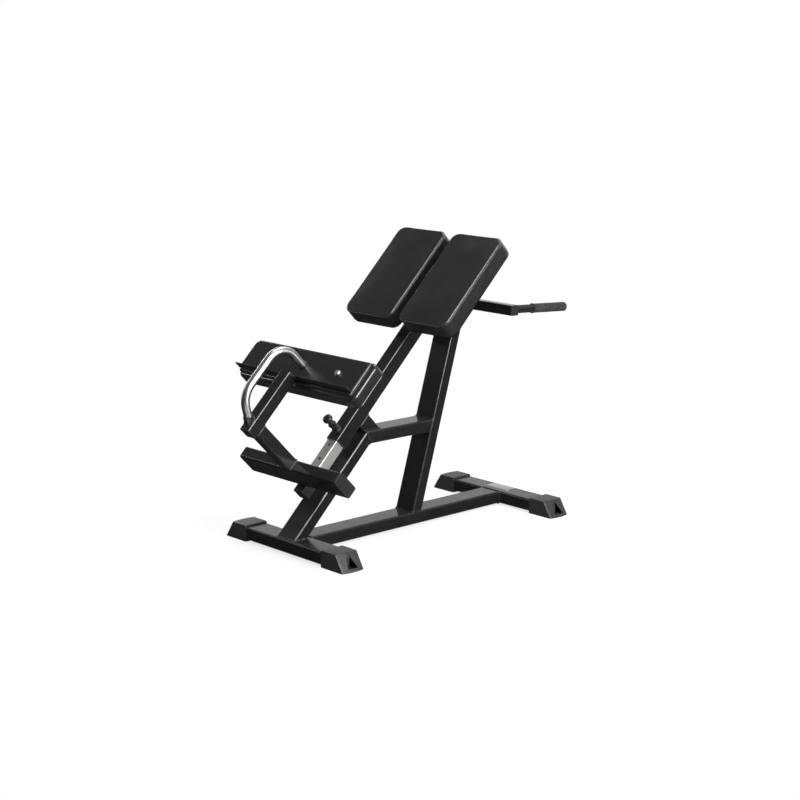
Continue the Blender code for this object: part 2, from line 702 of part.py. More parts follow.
def add_inner_tube(carriage):
    """Add the inner tube with its row of holes, and the cap on its lower end."""
    local = on_carriage(INNER_LOW, INNER_MIDDLE)
    inner = add_tube("inner_tube", carriage, local, INNER, INNER_LENGTH, BRUSHED_STEEL)
    drill = cylinder_form(HOLE_DIAMETER, INNER_WALL + 2 * OVERCUT)
    bmesh.ops.rotate(drill, verts=drill.verts, matrix=Matrix.Rotation(math.pi / ROUND_SIDES, 3, "Z"))
    lowest = PIN_PLACE - HOLES_EACH_WAY * HOLE_PITCH
    spot = on_carriage(lowest, INNER_FRONT - INNER_WALL - OVERCUT) @ OUT_OF_SLOPE
    holes = add_cutter("inner_tube_holes", mesh_from(drill, "holes"), carriage, spot)
    row = holes.modifiers.new("Row", "ARRAY")
    row.count = 2 * HOLES_EACH_WAY + 1
    row.use_relative_offset = False
    row.use_constant_offset = True
    row.constant_offset_displace = (0.0, HOLE_PITCH, 0.0)
    apply_boolean(inner, holes)
    add_plug("inner_tube_cap", carriage, on_carriage(INNER_LOW - GAP, INNER_MIDDLE), INNER,
             CAP_FLANGE, PLUG_DEPTH, BLACK_PLASTIC)


def add_foot_plate(carriage):
    """Add the foot plate across the carriage, its end caps and the pad that joins it to the tube."""
    middle = (PLATE_REAR + PLATE_FRONT) / 2
    level = PLATE_PLACE + MAIN_DEPTH / 2
    local = on_carriage(level, middle, -PLATE_LENGTH / 2) @ ALONG_X
    add_tube("foot_plate", carriage, local, MAIN_ON_EDGE, PLATE_LENGTH, POWDER_BLACK)
    for hand, side in (("left", -1), ("right", 1)):
        end = on_carriage(level, middle, side * (PLATE_LENGTH / 2 + GAP)) @ turned(-side * math.pi / 2, "Y")
        name = f"foot_plate_cap_{hand}"
        add_plug(name, carriage, end, MAIN_ON_EDGE, CAP_FLANGE, PLUG_DEPTH, BLACK_PLASTIC)
    depth = PLATE_STANDOFF - 2 * GAP
    pad = box_form((PLATE_PAD_WIDTH, depth, MAIN_DEPTH - 2 * MAIN_RADIUS))
    add_part("foot_plate_pad", mesh_from(pad, "foot_plate_pad"), carriage,
             on_carriage(level, INNER_FRONT + PLATE_STANDOFF / 2), POWDER_BLACK)


def add_arm(carriage):
    """Add the arm that stands out from the foot plate, and the upright on its end."""
    level = PLATE_PLACE + ARM_SIZE / 2
    add_tube("carriage_arm", carriage, on_carriage(level, PLATE_FRONT + GAP) @ OUT_OF_SLOPE, ARM,
             ARM_LENGTH - 2 * GAP, POWDER_BLACK)
    middle = UPRIGHT_REAR + ARM_SIZE / 2
    add_tube("calf_upright", carriage, on_carriage(UPRIGHT_LOW, middle), ARM,
             UPRIGHT_LENGTH - GAP, POWDER_BLACK)
    add_plug("upright_cap", carriage, on_carriage(UPRIGHT_LOW - GAP, middle), ARM, CAP_FLANGE,
             PLUG_DEPTH, BLACK_PLASTIC)


def calf_bolt_places():
    """Return the place of each bolt through the calf bracket, by hand."""
    return (("left", -CALF_BOLT_SPAN / 2), ("right", CALF_BOLT_SPAN / 2))


def add_calf_bracket(carriage):
    """Add the steel angle behind the handle: a tall leg with two round corners, on a foot leg."""
    half = ANGLE_LENGTH / 2
    arc = [(half - ANGLE_CORNER + ANGLE_CORNER * math.cos(math.pi / 2 * step / 4),
            ANGLE_RISE - ANGLE_CORNER + ANGLE_CORNER * math.sin(math.pi / 2 * step / 4)) for step in range(5)]
    outline = [(half, 0.0), *arc, *[(-x, z) for x, z in reversed(arc)], (-half, 0.0)]
    leg = flat_form("calf_bracket", (outline,), ANGLE_THICKNESS)
    local = on_carriage(ANGLE_LOW, ANGLE_FRONT) @ turned(math.pi / 2, "X") @ moved(0.0, 0.0, -ANGLE_THICKNESS)
    bracket = add_part("calf_bracket", mesh_from(leg, "calf_bracket"), carriage, local, POWDER_BLACK)
    foot = box_form((ANGLE_LENGTH, ANGLE_FOOT, ANGLE_THICKNESS))
    reach = ANGLE_FRONT - ANGLE_THICKNESS / 2 + ANGLE_FOOT / 2
    spot = on_carriage(ANGLE_LOW + ANGLE_THICKNESS / 2, reach)
    apply_boolean(bracket, add_cutter("calf_bracket_foot", mesh_from(foot, "foot"), carriage, spot), "UNION")
    drill_calf_holes(bracket, carriage)


def drill_calf_holes(part, carriage):
    """Cut the two bolt holes through the bracket or the board."""
    depth = ANGLE_THICKNESS + CALF_BOARD_THICKNESS + GAP
    for hand, x in calf_bolt_places():
        drill = cylinder_form(BOLT_HOLE, depth + 2 * OVERCUT, sides=16)
        spot = on_carriage(ANGLE_MIDDLE, ANGLE_FRONT - depth - OVERCUT, x) @ OUT_OF_SLOPE
        name = f"{part.name}_hole_{hand}"
        apply_boolean(part, add_cutter(name, mesh_from(drill, name), carriage, spot))


def add_calf_pad(carriage):
    """Add the calf pad: its wrapped board, its cushion and its two bolts."""
    middle = CALF_BOARD_FRONT - GAP - CALF_BOARD_THICKNESS / 2
    board = box_form((CALF_BOARD_LENGTH, CALF_BOARD_THICKNESS, CALF_BOARD_HEIGHT), CALF_BOARD_ROUND)
    board_part = add_part("calf_board", mesh_from(board, "calf_board"), carriage,
                          on_carriage(ANGLE_MIDDLE, middle), BLACK_VINYL)
    drill_calf_holes(board_part, carriage)
    middle = CALF_FRONT - 2 * GAP - CALF_THICKNESS / 2
    cushion = box_form((CALF_LENGTH, CALF_THICKNESS, CALF_HEIGHT), CALF_ROUND, steps=3)
    add_part("calf_cushion", mesh_from(cushion, "calf_cushion"), carriage,
             on_carriage(ANGLE_MIDDLE, middle), BLACK_VINYL)
    for hand, x in calf_bolt_places():
        seat = on_carriage(ANGLE_MIDDLE, ANGLE_FRONT + GAP, x) @ OUT_OF_SLOPE
        add_bolt(f"calf_bolt_{hand}", carriage, seat)


def add_bolt(name, place, seat):
    """Add one hexagon bolt with its washer, whose shank runs down from z = 0."""
    washer = cylinder_form(BOLT_WASHER, BOLT_WASHER_HEIGHT)
    bolt = add_part(name, mesh_from(washer, name), place, seat, ZINC)
    across_corners = BOLT_HEAD / math.cos(math.pi / 6)
    head = cylinder_form(across_corners, BOLT_HEAD_HEIGHT + BOLT_WASHER_HEIGHT / 2, sides=6)
    spot = seat @ moved(0.0, 0.0, BOLT_WASHER_HEIGHT / 2)
    apply_boolean(bolt, add_cutter(name + "_head", mesh_from(head, "head"), place, spot), "UNION")
    shank = cylinder_form(BOLT_SHANK, BOLT_LENGTH + BOLT_WASHER_HEIGHT / 2, sides=16)
    spot = seat @ moved(0.0, 0.0, -BOLT_LENGTH)
    apply_boolean(bolt, add_cutter(name + "_shank", mesh_from(shank, "shank"), place, spot), "UNION")


def arc_points(middle, radius, start, end, steps):
    """Return points along an arc on the slope, as (s, n), with angles measured from +s."""
    points = []
    for step in range(steps + 1):
        angle = start + (end - start) * step / steps
        points.append((middle[0] + radius * math.cos(angle), middle[1] + radius * math.sin(angle)))
    return points


def pipe_form(name, points, diameter, wall):
    """Return a bent round pipe along points of the carriage's (s, n) plane, open at both ends."""
    curve = bpy.data.curves.new(name, "CURVE")
    curve.dimensions = "3D"
    curve.bevel_depth = diameter / 2
    curve.bevel_resolution = 6
    spline = curve.splines.new("POLY")
    spline.points.add(len(points) - 1)
    for target, (s, n) in zip(spline.points, points):
        target.co = (*(on_carriage(s, n).to_translation()), 1.0)
    form = form_of_curve(curve)
    bmesh.ops.recalc_face_normals(form, faces=form.faces)
    bmesh.ops.solidify(form, geom=form.faces[:], thickness=wall)
    return form


def add_loop_handle(carriage):
    """Add the bent handle from the upright's front face over to the calf bracket, and its collar."""
    (turn_s, turn_n), (arc_s, arc_n) = loop_leg_start()
    leg = Vector((math.cos(LOOP_LEG_ANGLE), math.sin(LOOP_LEG_ANGLE)))
    foot = Vector((turn_s, turn_n)) - leg * ((turn_n - UPRIGHT_FRONT) / leg.y + LOOP_DIAMETER)
    top = (ANGLE_MIDDLE - LOOP_BEND, LOOP_LEVEL - LOOP_BEND)
    points = [tuple(foot)]
    points += arc_points((arc_s, arc_n), LOOP_BEND, math.pi / 2 + LOOP_LEG_ANGLE, math.pi / 2, 7)
    points += arc_points(top, LOOP_BEND, math.pi / 2, 0.0, 10)
    points.append((ANGLE_MIDDLE, ANGLE_FRONT - OVERCUT))
    form = pipe_form("loop_handle", points, LOOP_DIAMETER, LOOP_WALL)
    outward = slope_normal()
    home = on_carriage(0.0, 0.0).inverted()
    upright_face = carriage.world @ home.inverted() @ slope(0.0, UPRIGHT_FRONT + GAP)
    bracket_face = carriage.world @ home.inverted() @ slope(0.0, ANGLE_FRONT + GAP)
    split_s = (arc_s + top[0]) / 2
    keep_ends(form, carriage, upright_face, bracket_face, outward, split_s)
    add_part("loop_handle", mesh_from(form, "loop_handle"), carriage, Matrix.Identity(4), POLISHED_STEEL)
    add_loop_collar(carriage, leg)


def keep_ends(form, carriage, upright_face, bracket_face, outward, split_s):
    """Trim the handle's lower end at the upright and its upper end at the bracket."""
    split = on_carriage(split_s, 0.0).to_translation().z
    for is_upper, face in ((False, upright_face), (True, bracket_face)):
        back = carriage.world.inverted()
        near = [face_ for face_ in form.faces if (face_.calc_center_median().z > split) == is_upper]
        geom = {*near, *(e for f in near for e in f.edges), *(v for f in near for v in f.verts)}
        bmesh.ops.bisect_plane(form, geom=list(geom), dist=0.000001, plane_co=back @ face,
                               plane_no=back.to_3x3() @ -outward, clear_outer=True)
        rim = [edge for edge in form.edges if edge.is_boundary]
        bmesh.ops.bridge_loops(form, edges=rim)


def add_loop_collar(carriage, leg):
    """Add the short collar around the handle's foot, cut flat where it meets the upright."""
    start = LOOP_DIAMETER
    collar = cylinder_form(LOOP_COLLAR_DIAMETER, start + LOOP_COLLAR_LENGTH)
    tilt = Vector((0.0, -leg.y, leg.x))
    direction = tilt.to_track_quat("Z", "X").to_matrix().to_4x4()
    foot = on_carriage(LOOP_FOOT, UPRIGHT_FRONT)
    local = foot @ direction @ moved(0.0, 0.0, -start)
    face = carriage.world @ on_carriage(LOOP_FOOT, UPRIGHT_FRONT + GAP).to_translation()
    trim(collar, carriage.world @ local, face, -slope_normal())
    part = add_part("loop_collar", mesh_from(collar, "loop_collar"), carriage, local, POWDER_BLACK)
    drill = cylinder_form(LOOP_DIAMETER + 2 * GAP, start + LOOP_COLLAR_LENGTH + 2 * OVERCUT, sides=48)
    spot = local @ moved(0.0, 0.0, -OVERCUT)
    apply_boolean(part, add_cutter("loop_collar_bore", mesh_from(drill, "drill"), carriage, spot))


def pad_form(width, length, thickness, corner, rounding):
    """Return a pad between z = 0 and its thickness, with round corners and a rounded upper edge."""
    form = box_form((width, length, thickness))
    bmesh.ops.translate(form, verts=form.verts, vec=(0.0, 0.0, thickness / 2))
    upright = [edge for edge in form.edges if abs(edge.verts[0].co.z - edge.verts[1].co.z) > thickness / 2]
    bmesh.ops.bevel(form, geom=upright, offset=corner, segments=5, profile=0.5, affect="EDGES")
    if rounding:
        top = [edge for edge in form.edges if min(vert.co.z for vert in edge.verts) > thickness * 0.999]
        bmesh.ops.bevel(form, geom=top, offset=rounding, segments=3, profile=0.5, affect="EDGES")
    return form


def add_hip_pads(incline):
    """Add the two hip pads with the boards let into their undersides."""
    offset = (PAD_SPACING + PAD_WIDTH) / 2
    board_width = PAD_WIDTH - 2 * PAD_BOARD_INSET
    board_length = PAD_LENGTH - 2 * PAD_BOARD_INSET
    corner = PAD_CORNER - PAD_BOARD_INSET
    for hand, side in (("left", -1), ("right", 1)):
        seat = Matrix.Translation(slope(PAD_MIDDLE, PAD_BASE, side * offset)) @ OUT_OF_SLOPE
        pad = pad_form(PAD_WIDTH, PAD_LENGTH, PAD_THICKNESS, PAD_CORNER, PAD_ROUND)
        part = add_part(f"hip_pad_{hand}", mesh_from(pad, "hip_pad"), incline, seat, BLACK_VINYL)
        pocket = pad_form(board_width + 2 * GAP, board_length + 2 * GAP,
                          PAD_BOARD_THICKNESS + OVERCUT + GAP, corner + GAP, 0.0)
        spot = seat @ moved(0.0, 0.0, -OVERCUT)
        apply_boolean(part, add_cutter(f"hip_pad_pocket_{hand}", mesh_from(pocket, "pocket"), incline, spot))
        board = pad_form(board_width, board_length, PAD_BOARD_THICKNESS, corner, 0.0)
        add_part(f"hip_board_{hand}", mesh_from(board, "hip_board"), incline, seat, PLYWOOD)


def add_pad_channels(incline):
    """Add the two channels that carry the hip pads on the sleeve, open towards the boards."""
    half = CHANNEL_WIDTH / 2
    inside = half - CHANNEL_WALL
    outline = ((-half, 0.0), (half, 0.0), (half, CHANNEL_HEIGHT), (inside, CHANNEL_HEIGHT),
               (inside, CHANNEL_WALL), (-inside, CHANNEL_WALL), (-inside, CHANNEL_HEIGHT),
               (-half, CHANNEL_HEIGHT))
    across = turned(math.pi / 2, "Y") @ turned(math.pi / 2, "Z")
    for name, place in zip(("pad_channel_lower", "pad_channel_upper"), CHANNEL_PLACES):
        form = flat_form(name, (outline,), CHANNEL_LENGTH)
        local = Matrix.Translation(slope(place, SLEEVE_FRONT + GAP, -CHANNEL_LENGTH / 2))
        local = local @ turned(math.pi / 2, "X") @ across
        add_part(name, mesh_from(form, name), incline, local, POWDER_BLACK)


def add_hand_grips(base):
    """Add the two side stays on the rear post, and a grip tube, rubber and end ring on each."""
    rise = STAY_HEIGHT - TUBE_TOP
    depth_middle = MAIN_DEPTH / 2 / math.cos(REAR_POST_LEAN)
    stay_y = REAR_POST_FOOT + rise * math.tan(REAR_POST_LEAN) + depth_middle
    length = STAY_REACH - MAIN_WIDTH / 2 - GAP
    for hand, side in (("left", -1), ("right", 1)):
        start = side * (MAIN_WIDTH / 2 + GAP)
        local = moved(start, stay_y, STAY_HEIGHT) @ turned(side * math.pi / 2, "Y")
        add_tube(f"grip_stay_{hand}", base, local, STAY, length, POWDER_BLACK)
        end = moved(side * (STAY_REACH + GAP), stay_y, STAY_HEIGHT) @ turned(-side * math.pi / 2, "Y")
        add_plug(f"stay_cap_{hand}", base, end, STAY, CAP_FLANGE, PLUG_DEPTH, BLACK_PLASTIC)
        grip_x = side * (STAY_REACH - STAY_SIZE / 2)
        add_grip(hand, base, Vector((grip_x, stay_y + STAY_SIZE / 2, STAY_HEIGHT)))


def add_grip(hand, base, root):
    """Add one grip tube from the stay's rear face, with its rubber and its end ring."""
    axis = Matrix.Translation(root) @ turned(-math.pi / 2 - GRIP_TILT, "X")
    spare = GRIP_TUBE
    pipe = cylinder_form(GRIP_TUBE, GRIP_TUBE_LENGTH + spare)
    local = axis @ moved(0.0, 0.0, -spare)
    face = base.world @ (root + Vector((0.0, GAP, 0.0)))
    trim(pipe, base.world @ local, face, Vector((0.0, -1.0, 0.0)))
    part = add_part(f"grip_tube_{hand}", mesh_from(pipe, "grip_tube"), base, local, POWDER_BLACK)
    drill = cylinder_form(GRIP_TUBE - 2 * GRIP_TUBE_WALL, GRIP_TUBE_LENGTH + 3 * spare)
    apply_boolean(part, add_cutter(f"grip_tube_bore_{hand}", mesh_from(drill, "drill"), base,
                                   axis @ moved(0.0, 0.0, -2 * spare)))
    bore = GRIP_TUBE / 2 + GAP
    outer = GRIP_RUBBER / 2
    lip = outer + 0.0015
    start = GRIP_TUBE_LENGTH - GRIP_RUBBER_LENGTH
    ring = GRIP_END_THICKNESS
    rubber = ((bore, GRIP_TUBE_LENGTH), (outer, GRIP_TUBE_LENGTH), (outer, start + 2 * ring),
              (lip, start + ring), (lip, start), (bore, start))
    turned_part(f"grip_rubber_{hand}", rubber, base, axis, BLACK_RUBBER)
    low = GRIP_TUBE_LENGTH + GAP
    plug = GRIP_TUBE / 2 - GRIP_TUBE_WALL - GAP
    cap = ((0.0, low + ring), (outer * 0.75, low + ring), (outer, low + ring * 0.4), (outer, low),
           (plug, low), (plug, low - PLUG_DEPTH), (0.0, low - PLUG_DEPTH))
    turned_part(f"grip_end_{hand}", cap, base, axis, GREY_PLASTIC)


def build():
    """Build the whole bench."""
    base = new_place("bench", None, moved(0.0, bench_shift(), 0.0))
    start = moved(0.0, POST_SETBACK, TUBE_TOP)
    incline = new_place("slope", base, start @ turned(INCLINE - math.pi / 2, "X"))
    carriage = new_place("carriage", incline, Matrix.Translation(slope(PLATE_PLACE, INNER_MIDDLE)))
    pin_seat = Matrix.Translation(slope(PIN_PLACE, SLEEVE_FRONT + GAP)) @ OUT_OF_SLOPE
    pin = new_place("pull_pin", incline, pin_seat)
    add_floor_frame(base)
    add_posts(base, incline)
    add_sleeve(base, incline)
    add_pin(incline, pin)
    add_hip_pads(incline)
    add_pad_channels(incline)
    add_hand_grips(base)
    add_inner_tube(carriage)
    add_foot_plate(carriage)
    add_arm(carriage)
    add_calf_bracket(carriage)
    add_calf_pad(carriage)
    add_loop_handle(carriage)


clear_scene()
PARTS = new_collection("Hyperextension bench")
CUTTERS = new_collection("Cutters")
build()
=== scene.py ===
"""Looks of the forty-five degree hyperextension bench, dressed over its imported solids.

All sizes are metres in the solids' own frame: X runs across the bench, +Y points to the hand grips and +Z
is up. Places on the slope are given as (s, n): s runs up the slope and n stands out from it.
"""

import json
import logging
import math
from contextlib import contextmanager
from dataclasses import dataclass
from enum import Enum
from typing import Callable, Iterator, Sequence

import bmesh
import bpy
from mathutils import Matrix, Quaternion, Vector
from mathutils.bvhtree import BVHTree


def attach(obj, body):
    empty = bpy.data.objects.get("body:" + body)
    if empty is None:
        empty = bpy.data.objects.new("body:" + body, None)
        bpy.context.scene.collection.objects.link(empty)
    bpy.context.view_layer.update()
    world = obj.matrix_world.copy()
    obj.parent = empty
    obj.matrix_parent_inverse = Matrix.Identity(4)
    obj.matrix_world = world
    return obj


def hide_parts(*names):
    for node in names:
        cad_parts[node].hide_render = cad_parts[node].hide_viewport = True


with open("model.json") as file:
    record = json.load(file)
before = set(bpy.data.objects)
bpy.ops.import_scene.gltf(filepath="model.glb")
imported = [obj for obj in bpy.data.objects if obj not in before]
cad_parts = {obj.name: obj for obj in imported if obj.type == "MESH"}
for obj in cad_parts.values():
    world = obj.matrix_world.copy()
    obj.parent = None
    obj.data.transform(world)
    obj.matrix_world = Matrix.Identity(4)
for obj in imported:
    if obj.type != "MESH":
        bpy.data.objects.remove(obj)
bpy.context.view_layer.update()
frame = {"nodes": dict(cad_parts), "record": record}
LOG = logging.getLogger("bench")

Piece = bpy.types.Object
Material = bpy.types.Material
Node = bpy.types.Node
Socket = bpy.types.NodeSocket
Size = tuple[float, float, float]
Colour = tuple[float, float, float, float]

INCLINE = math.radians(45.0)
BENCH_SHIFT = -0.52290
SLOPE_ORIGIN = Vector((0.0, BENCH_SHIFT + 0.0140, 0.0570))
UP_SLOPE = Vector((0.0, math.cos(INCLINE), math.sin(INCLINE)))
OUT_OF_SLOPE = Vector((0.0, -math.sin(INCLINE), math.cos(INCLINE)))
ACROSS = Vector((1.0, 0.0, 0.0))
BACKWARD = Vector((0.0, 1.0, 0.0))
UP = Vector((0.0, 0.0, 1.0))
CALF_PAD_MIDDLE = 0.5115
BRACKET_FACE = 0.3995
CHANNEL_MIDDLES = (1.030, 1.265)
CORNER_STEPS = 12
TUBE_MAP = "tube"


class Body(Enum):
    """The moving bodies of the bench."""

    FRAME = "frame"
    CARRIAGE = "carriage"
    PIN = "pin"


class Slot(Enum):
    """The record's material slots."""

    POWDER = "powder_coat"
    SILVER = "silver_tube"
    POLISHED = "polished_steel"
    PLASTIC = "black_plastic"
    RUBBER = "grip_rubber"
    END_RING = "grip_end"
    VINYL = "pad_vinyl"
    PLYWOOD = "plywood"
    ZINC = "zinc"


class Hand(Enum):
    """The two sides of the bench."""

    LEFT = -1
    RIGHT = 1

    @property
    def word(self) -> str:
        """The side's name in lower case."""
        return self.name.lower()


class Element(Enum):
    """What is picked in edit mode."""

    EDGE = "EDGE"
    FACE = "FACE"


def on_slope(s: float, n: float, x: float = 0.0) -> Vector:
    """Return the world point at (s, n) on the slope, x metres to the right."""
    return SLOPE_ORIGIN + UP_SLOPE * s + OUT_OF_SLOPE * n + ACROSS * x


def on_base(y: float, z: float, x: float = 0.0) -> Vector:
    """Return the world point y metres behind the front cross tube's foremost face, at a height z."""
    return Vector((x, BENCH_SHIFT + y, z))


def axes(origin: Vector, x_axis: Vector, y_axis: Vector) -> Matrix:
    """Return the matrix of a place.

    Args:
        origin: where the place is.
        x_axis: the direction of its X axis.
        y_axis: the rough direction of its Y axis, made square to X.

    Returns:
        A right-handed matrix with unit axes.
    """
    first = x_axis.normalized()
    third = first.cross(y_axis).normalized()
    second = third.cross(first)
    matrix = Matrix((first, second, third)).transposed().to_4x4()
    matrix.translation = origin
    return matrix


def slope_place(s: float, n: float, x: float = 0.0) -> Matrix:
    """Return a place on the slope with X across, Y up the slope and Z out of it."""
    return axes(on_slope(s, n, x), ACROSS, UP_SLOPE)


# Modelling by hand


def configure(target: object, **settings: object) -> None:
    """Set several attributes of a modifier, a node, a lamp or a curve."""
    for name, value in settings.items():
        setattr(target, name, value)


def deselect_all() -> None:
    """Deselect every object."""
    bpy.ops.object.select_all(action="DESELECT")


def activate(*pieces: Piece) -> None:
    """Select these pieces alone and make the first one active.

    Args:
        pieces: what is selected.
    """
    deselect_all()
    for piece in pieces:
        piece.select_set(True)
    bpy.context.view_layer.objects.active = pieces[0]


@contextmanager
def edit_mode(piece: Piece) -> Iterator[None]:
    """Open a piece in edit mode for the length of a with block.

    Args:
        piece: the piece to edit.
    """
    activate(piece)
    bpy.ops.object.mode_set(mode="EDIT")
    try:
        yield
    finally:
        bpy.ops.object.mode_set(mode="OBJECT")


def pick(piece: Piece, element: Element, test: Callable[..., bool] = lambda _part: True) -> None:
    """Select parts of the mesh in edit mode.

    Args:
        piece: the piece in edit mode.
        element: edges or faces.
        test: returns True for each part to select, or left out to select them all.
    """
    bpy.ops.mesh.select_mode(type=element.value)
    bpy.ops.mesh.select_all(action="DESELECT")
    form = bmesh.from_edit_mesh(piece.data)
    parts = form.edges if element is Element.EDGE else form.faces
    found = [part for part in parts if test(part)]
    for part in found:
        part.select_set(True)
    form.select_flush_mode()
    bmesh.update_edit_mesh(piece.data)


def bevel(offset: float, segments: int) -> None:
    """Round the selected edges."""
    bpy.ops.mesh.bevel(offset=offset, segments=segments, affect="EDGES")


def extrude(move: Sequence[float]) -> None:
    """Draw the selection out by a move."""
    bpy.ops.mesh.extrude_region_move(TRANSFORM_OT_translate={"value": move})


def rises(edge: bmesh.types.BMEdge) -> float:
    """Return how much higher one end of an edge is than the other."""
    return abs(edge.verts[0].co.z - edge.verts[1].co.z)


def add_modifier(piece: Piece, kind: str, **settings: object) -> bpy.types.Modifier:
    """Add a modifier.

    Args:
        piece: the piece that gets it.
        kind: its type.
        settings: its attributes.

    Returns:
        The modifier.
    """
    modifier = piece.modifiers.new(kind.title(), kind)
    configure(modifier, **settings)
    return modifier


def apply_modifiers(piece: Piece) -> None:
    """Apply every modifier of a piece.

    Args:
        piece: the piece.
    """
    activate(piece)
    for modifier in list(piece.modifiers):
        bpy.ops.object.modifier_apply(modifier=modifier.name)


def apply_place() -> None:
    """Put the selected piece's place, turn and scale into its mesh."""
    bpy.ops.object.transform_apply(location=True, rotation=True, scale=True)


def bake_place(piece: Piece, place: Matrix) -> None:
    """Move a piece to its place and put that place into its mesh.

    Args:
        piece: the piece.
        place: where it goes.
    """
    piece.matrix_world = place @ piece.matrix_world
    activate(piece)
    apply_place()


def recalculate(piece: Piece) -> None:
    """Merge doubles and turn every face outwards.

    Args:
        piece: the piece.
    """
    with edit_mode(piece):
        bpy.ops.mesh.select_all(action="SELECT")
        bpy.ops.mesh.remove_doubles(threshold=0.00001)
        bpy.ops.mesh.normals_make_consistent(inside=False)


def smooth(piece: Piece, angle: float = 35.0) -> None:
    """Shade a piece smooth, with edges sharper than the angle in degrees left sharp."""
    activate(piece)
    bpy.ops.object.shade_smooth_by_angle(angle=math.radians(angle))


def add_object(name: str, data: bpy.types.ID) -> Piece:
    """Put a new object into the scene.

    Args:
        name: its name.
        data: its mesh, curve, lamp or camera.

    Returns:
        The object.
    """
    piece = bpy.data.objects.new(name, data)
    bpy.context.scene.collection.objects.link(piece)
    return piece


def copy_of(piece: Piece, name: str) -> Piece:
    """Return a copy of a piece with its own mesh."""
    return add_object(name, piece.data.copy())


def add_cube(name: str, size: Sequence[float], centre: Sequence[float] = (0.0, 0.0, 0.0)) -> Piece:
    """Add a box.

    Args:
        name: its name.
        size: its size along X, Y and Z.
        centre: its middle.

    Returns:
        The box.
    """
    deselect_all()
    bpy.ops.mesh.primitive_cube_add(size=1.0, location=centre)
    box = bpy.context.object
    box.name = name
    box.scale = size
    apply_place()
    return box


def turned(name: str, profile: Sequence[tuple[float, float]], sides: int = 48) -> Piece:
    """Model a turned piece about Z from a circle, ring by ring.

    Args:
        name: the piece's name.
        profile: (radius, height) of each ring, from the first to the last.
        sides: corners of each ring.

    Returns:
        A closed piece whose faces point outwards.
    """
    deselect_all()
    radius, height = profile[0]
    bpy.ops.mesh.primitive_circle_add(vertices=sides, radius=radius, location=UP * height, fill_type="NGON")
    piece = bpy.context.object
    piece.name = name
    apply_place()
    with edit_mode(piece):
        pick(piece, Element.FACE)
        for (old, low), (new, high) in zip(profile, profile[1:]):
            extrude((0.0, 0.0, high - low))
            bpy.ops.transform.resize(value=(new / old, new / old, 1.0), center_override=(0.0, 0.0, high))
    recalculate(piece)
    return piece


def sweep(name: str, points: Sequence[Vector], radii: Sequence[float], closed: bool) -> Piece:
    """Lay a round bead along points and return it as a mesh.

    Args:
        name: the piece's name.
        points: the middle line, in the world.
        radii: the radius at each point.
        closed: whether the end meets the start.

    Returns:
        A closed mesh.
    """
    curve = bpy.data.curves.new(name, "CURVE")
    configure(curve, dimensions="3D", bevel_depth=1.0, bevel_resolution=2, use_fill_caps=not closed)
    spline = curve.splines.new("POLY")
    spline.points.add(len(points) - 1)
    for target, point, radius in zip(spline.points, points, radii):
        target.co = (*point, 1.0)
        target.radius = radius
    spline.use_cyclic_u = closed
    activate(add_object(name, curve))
    bpy.ops.object.convert(target="MESH")
    piece = bpy.context.object
    recalculate(piece)
    return piece


def rounded_loop(half_x: float, half_y: float, radius: float, step: float) -> list[Vector]:
    """Lay points round a rectangle with round corners, flat in XY.

    Args:
        half_x: half its width.
        half_y: half its length.
        radius: the radius of its corners.
        step: the distance from point to point.

    Returns:
        The points, without the first one again.
    """
    dense: list[Vector] = []
    for quarter, (sign_x, sign_y) in enumerate(((1, 1), (-1, 1), (-1, -1), (1, -1))):
        middle = Vector((sign_x * (half_x - radius), sign_y * (half_y - radius), 0.0))
        for turn in range(CORNER_STEPS + 1):
            angle = math.radians(90.0 * quarter + 90.0 * turn / CORNER_STEPS)
            dense.append(middle + Vector((math.cos(angle), math.sin(angle), 0.0)) * radius)
    return even_points(dense + [dense[0]], step)[:-1]


def even_points(line: Sequence[Vector], step: float) -> list[Vector]:
    """Lay points at an even step along a line.

    Args:
        line: the line's own points.
        step: the distance from point to point, made to fit the line.

    Returns:
        The points, with both ends.
    """
    lengths = [0.0]
    for first, second in zip(line, line[1:]):
        lengths.append(lengths[-1] + (second - first).length)
    count = max(2, round(lengths[-1] / step))
    points: list[Vector] = []
    index = 0
    for number in range(count + 1):
        wanted = lengths[-1] * number / count
        while index < len(line) - 2 and lengths[index + 1] < wanted:
            index += 1
        span = max(lengths[index + 1] - lengths[index], 1e-9)
        points.append(line[index].lerp(line[index + 1], (wanted - lengths[index]) / span))
    return points


# Materials


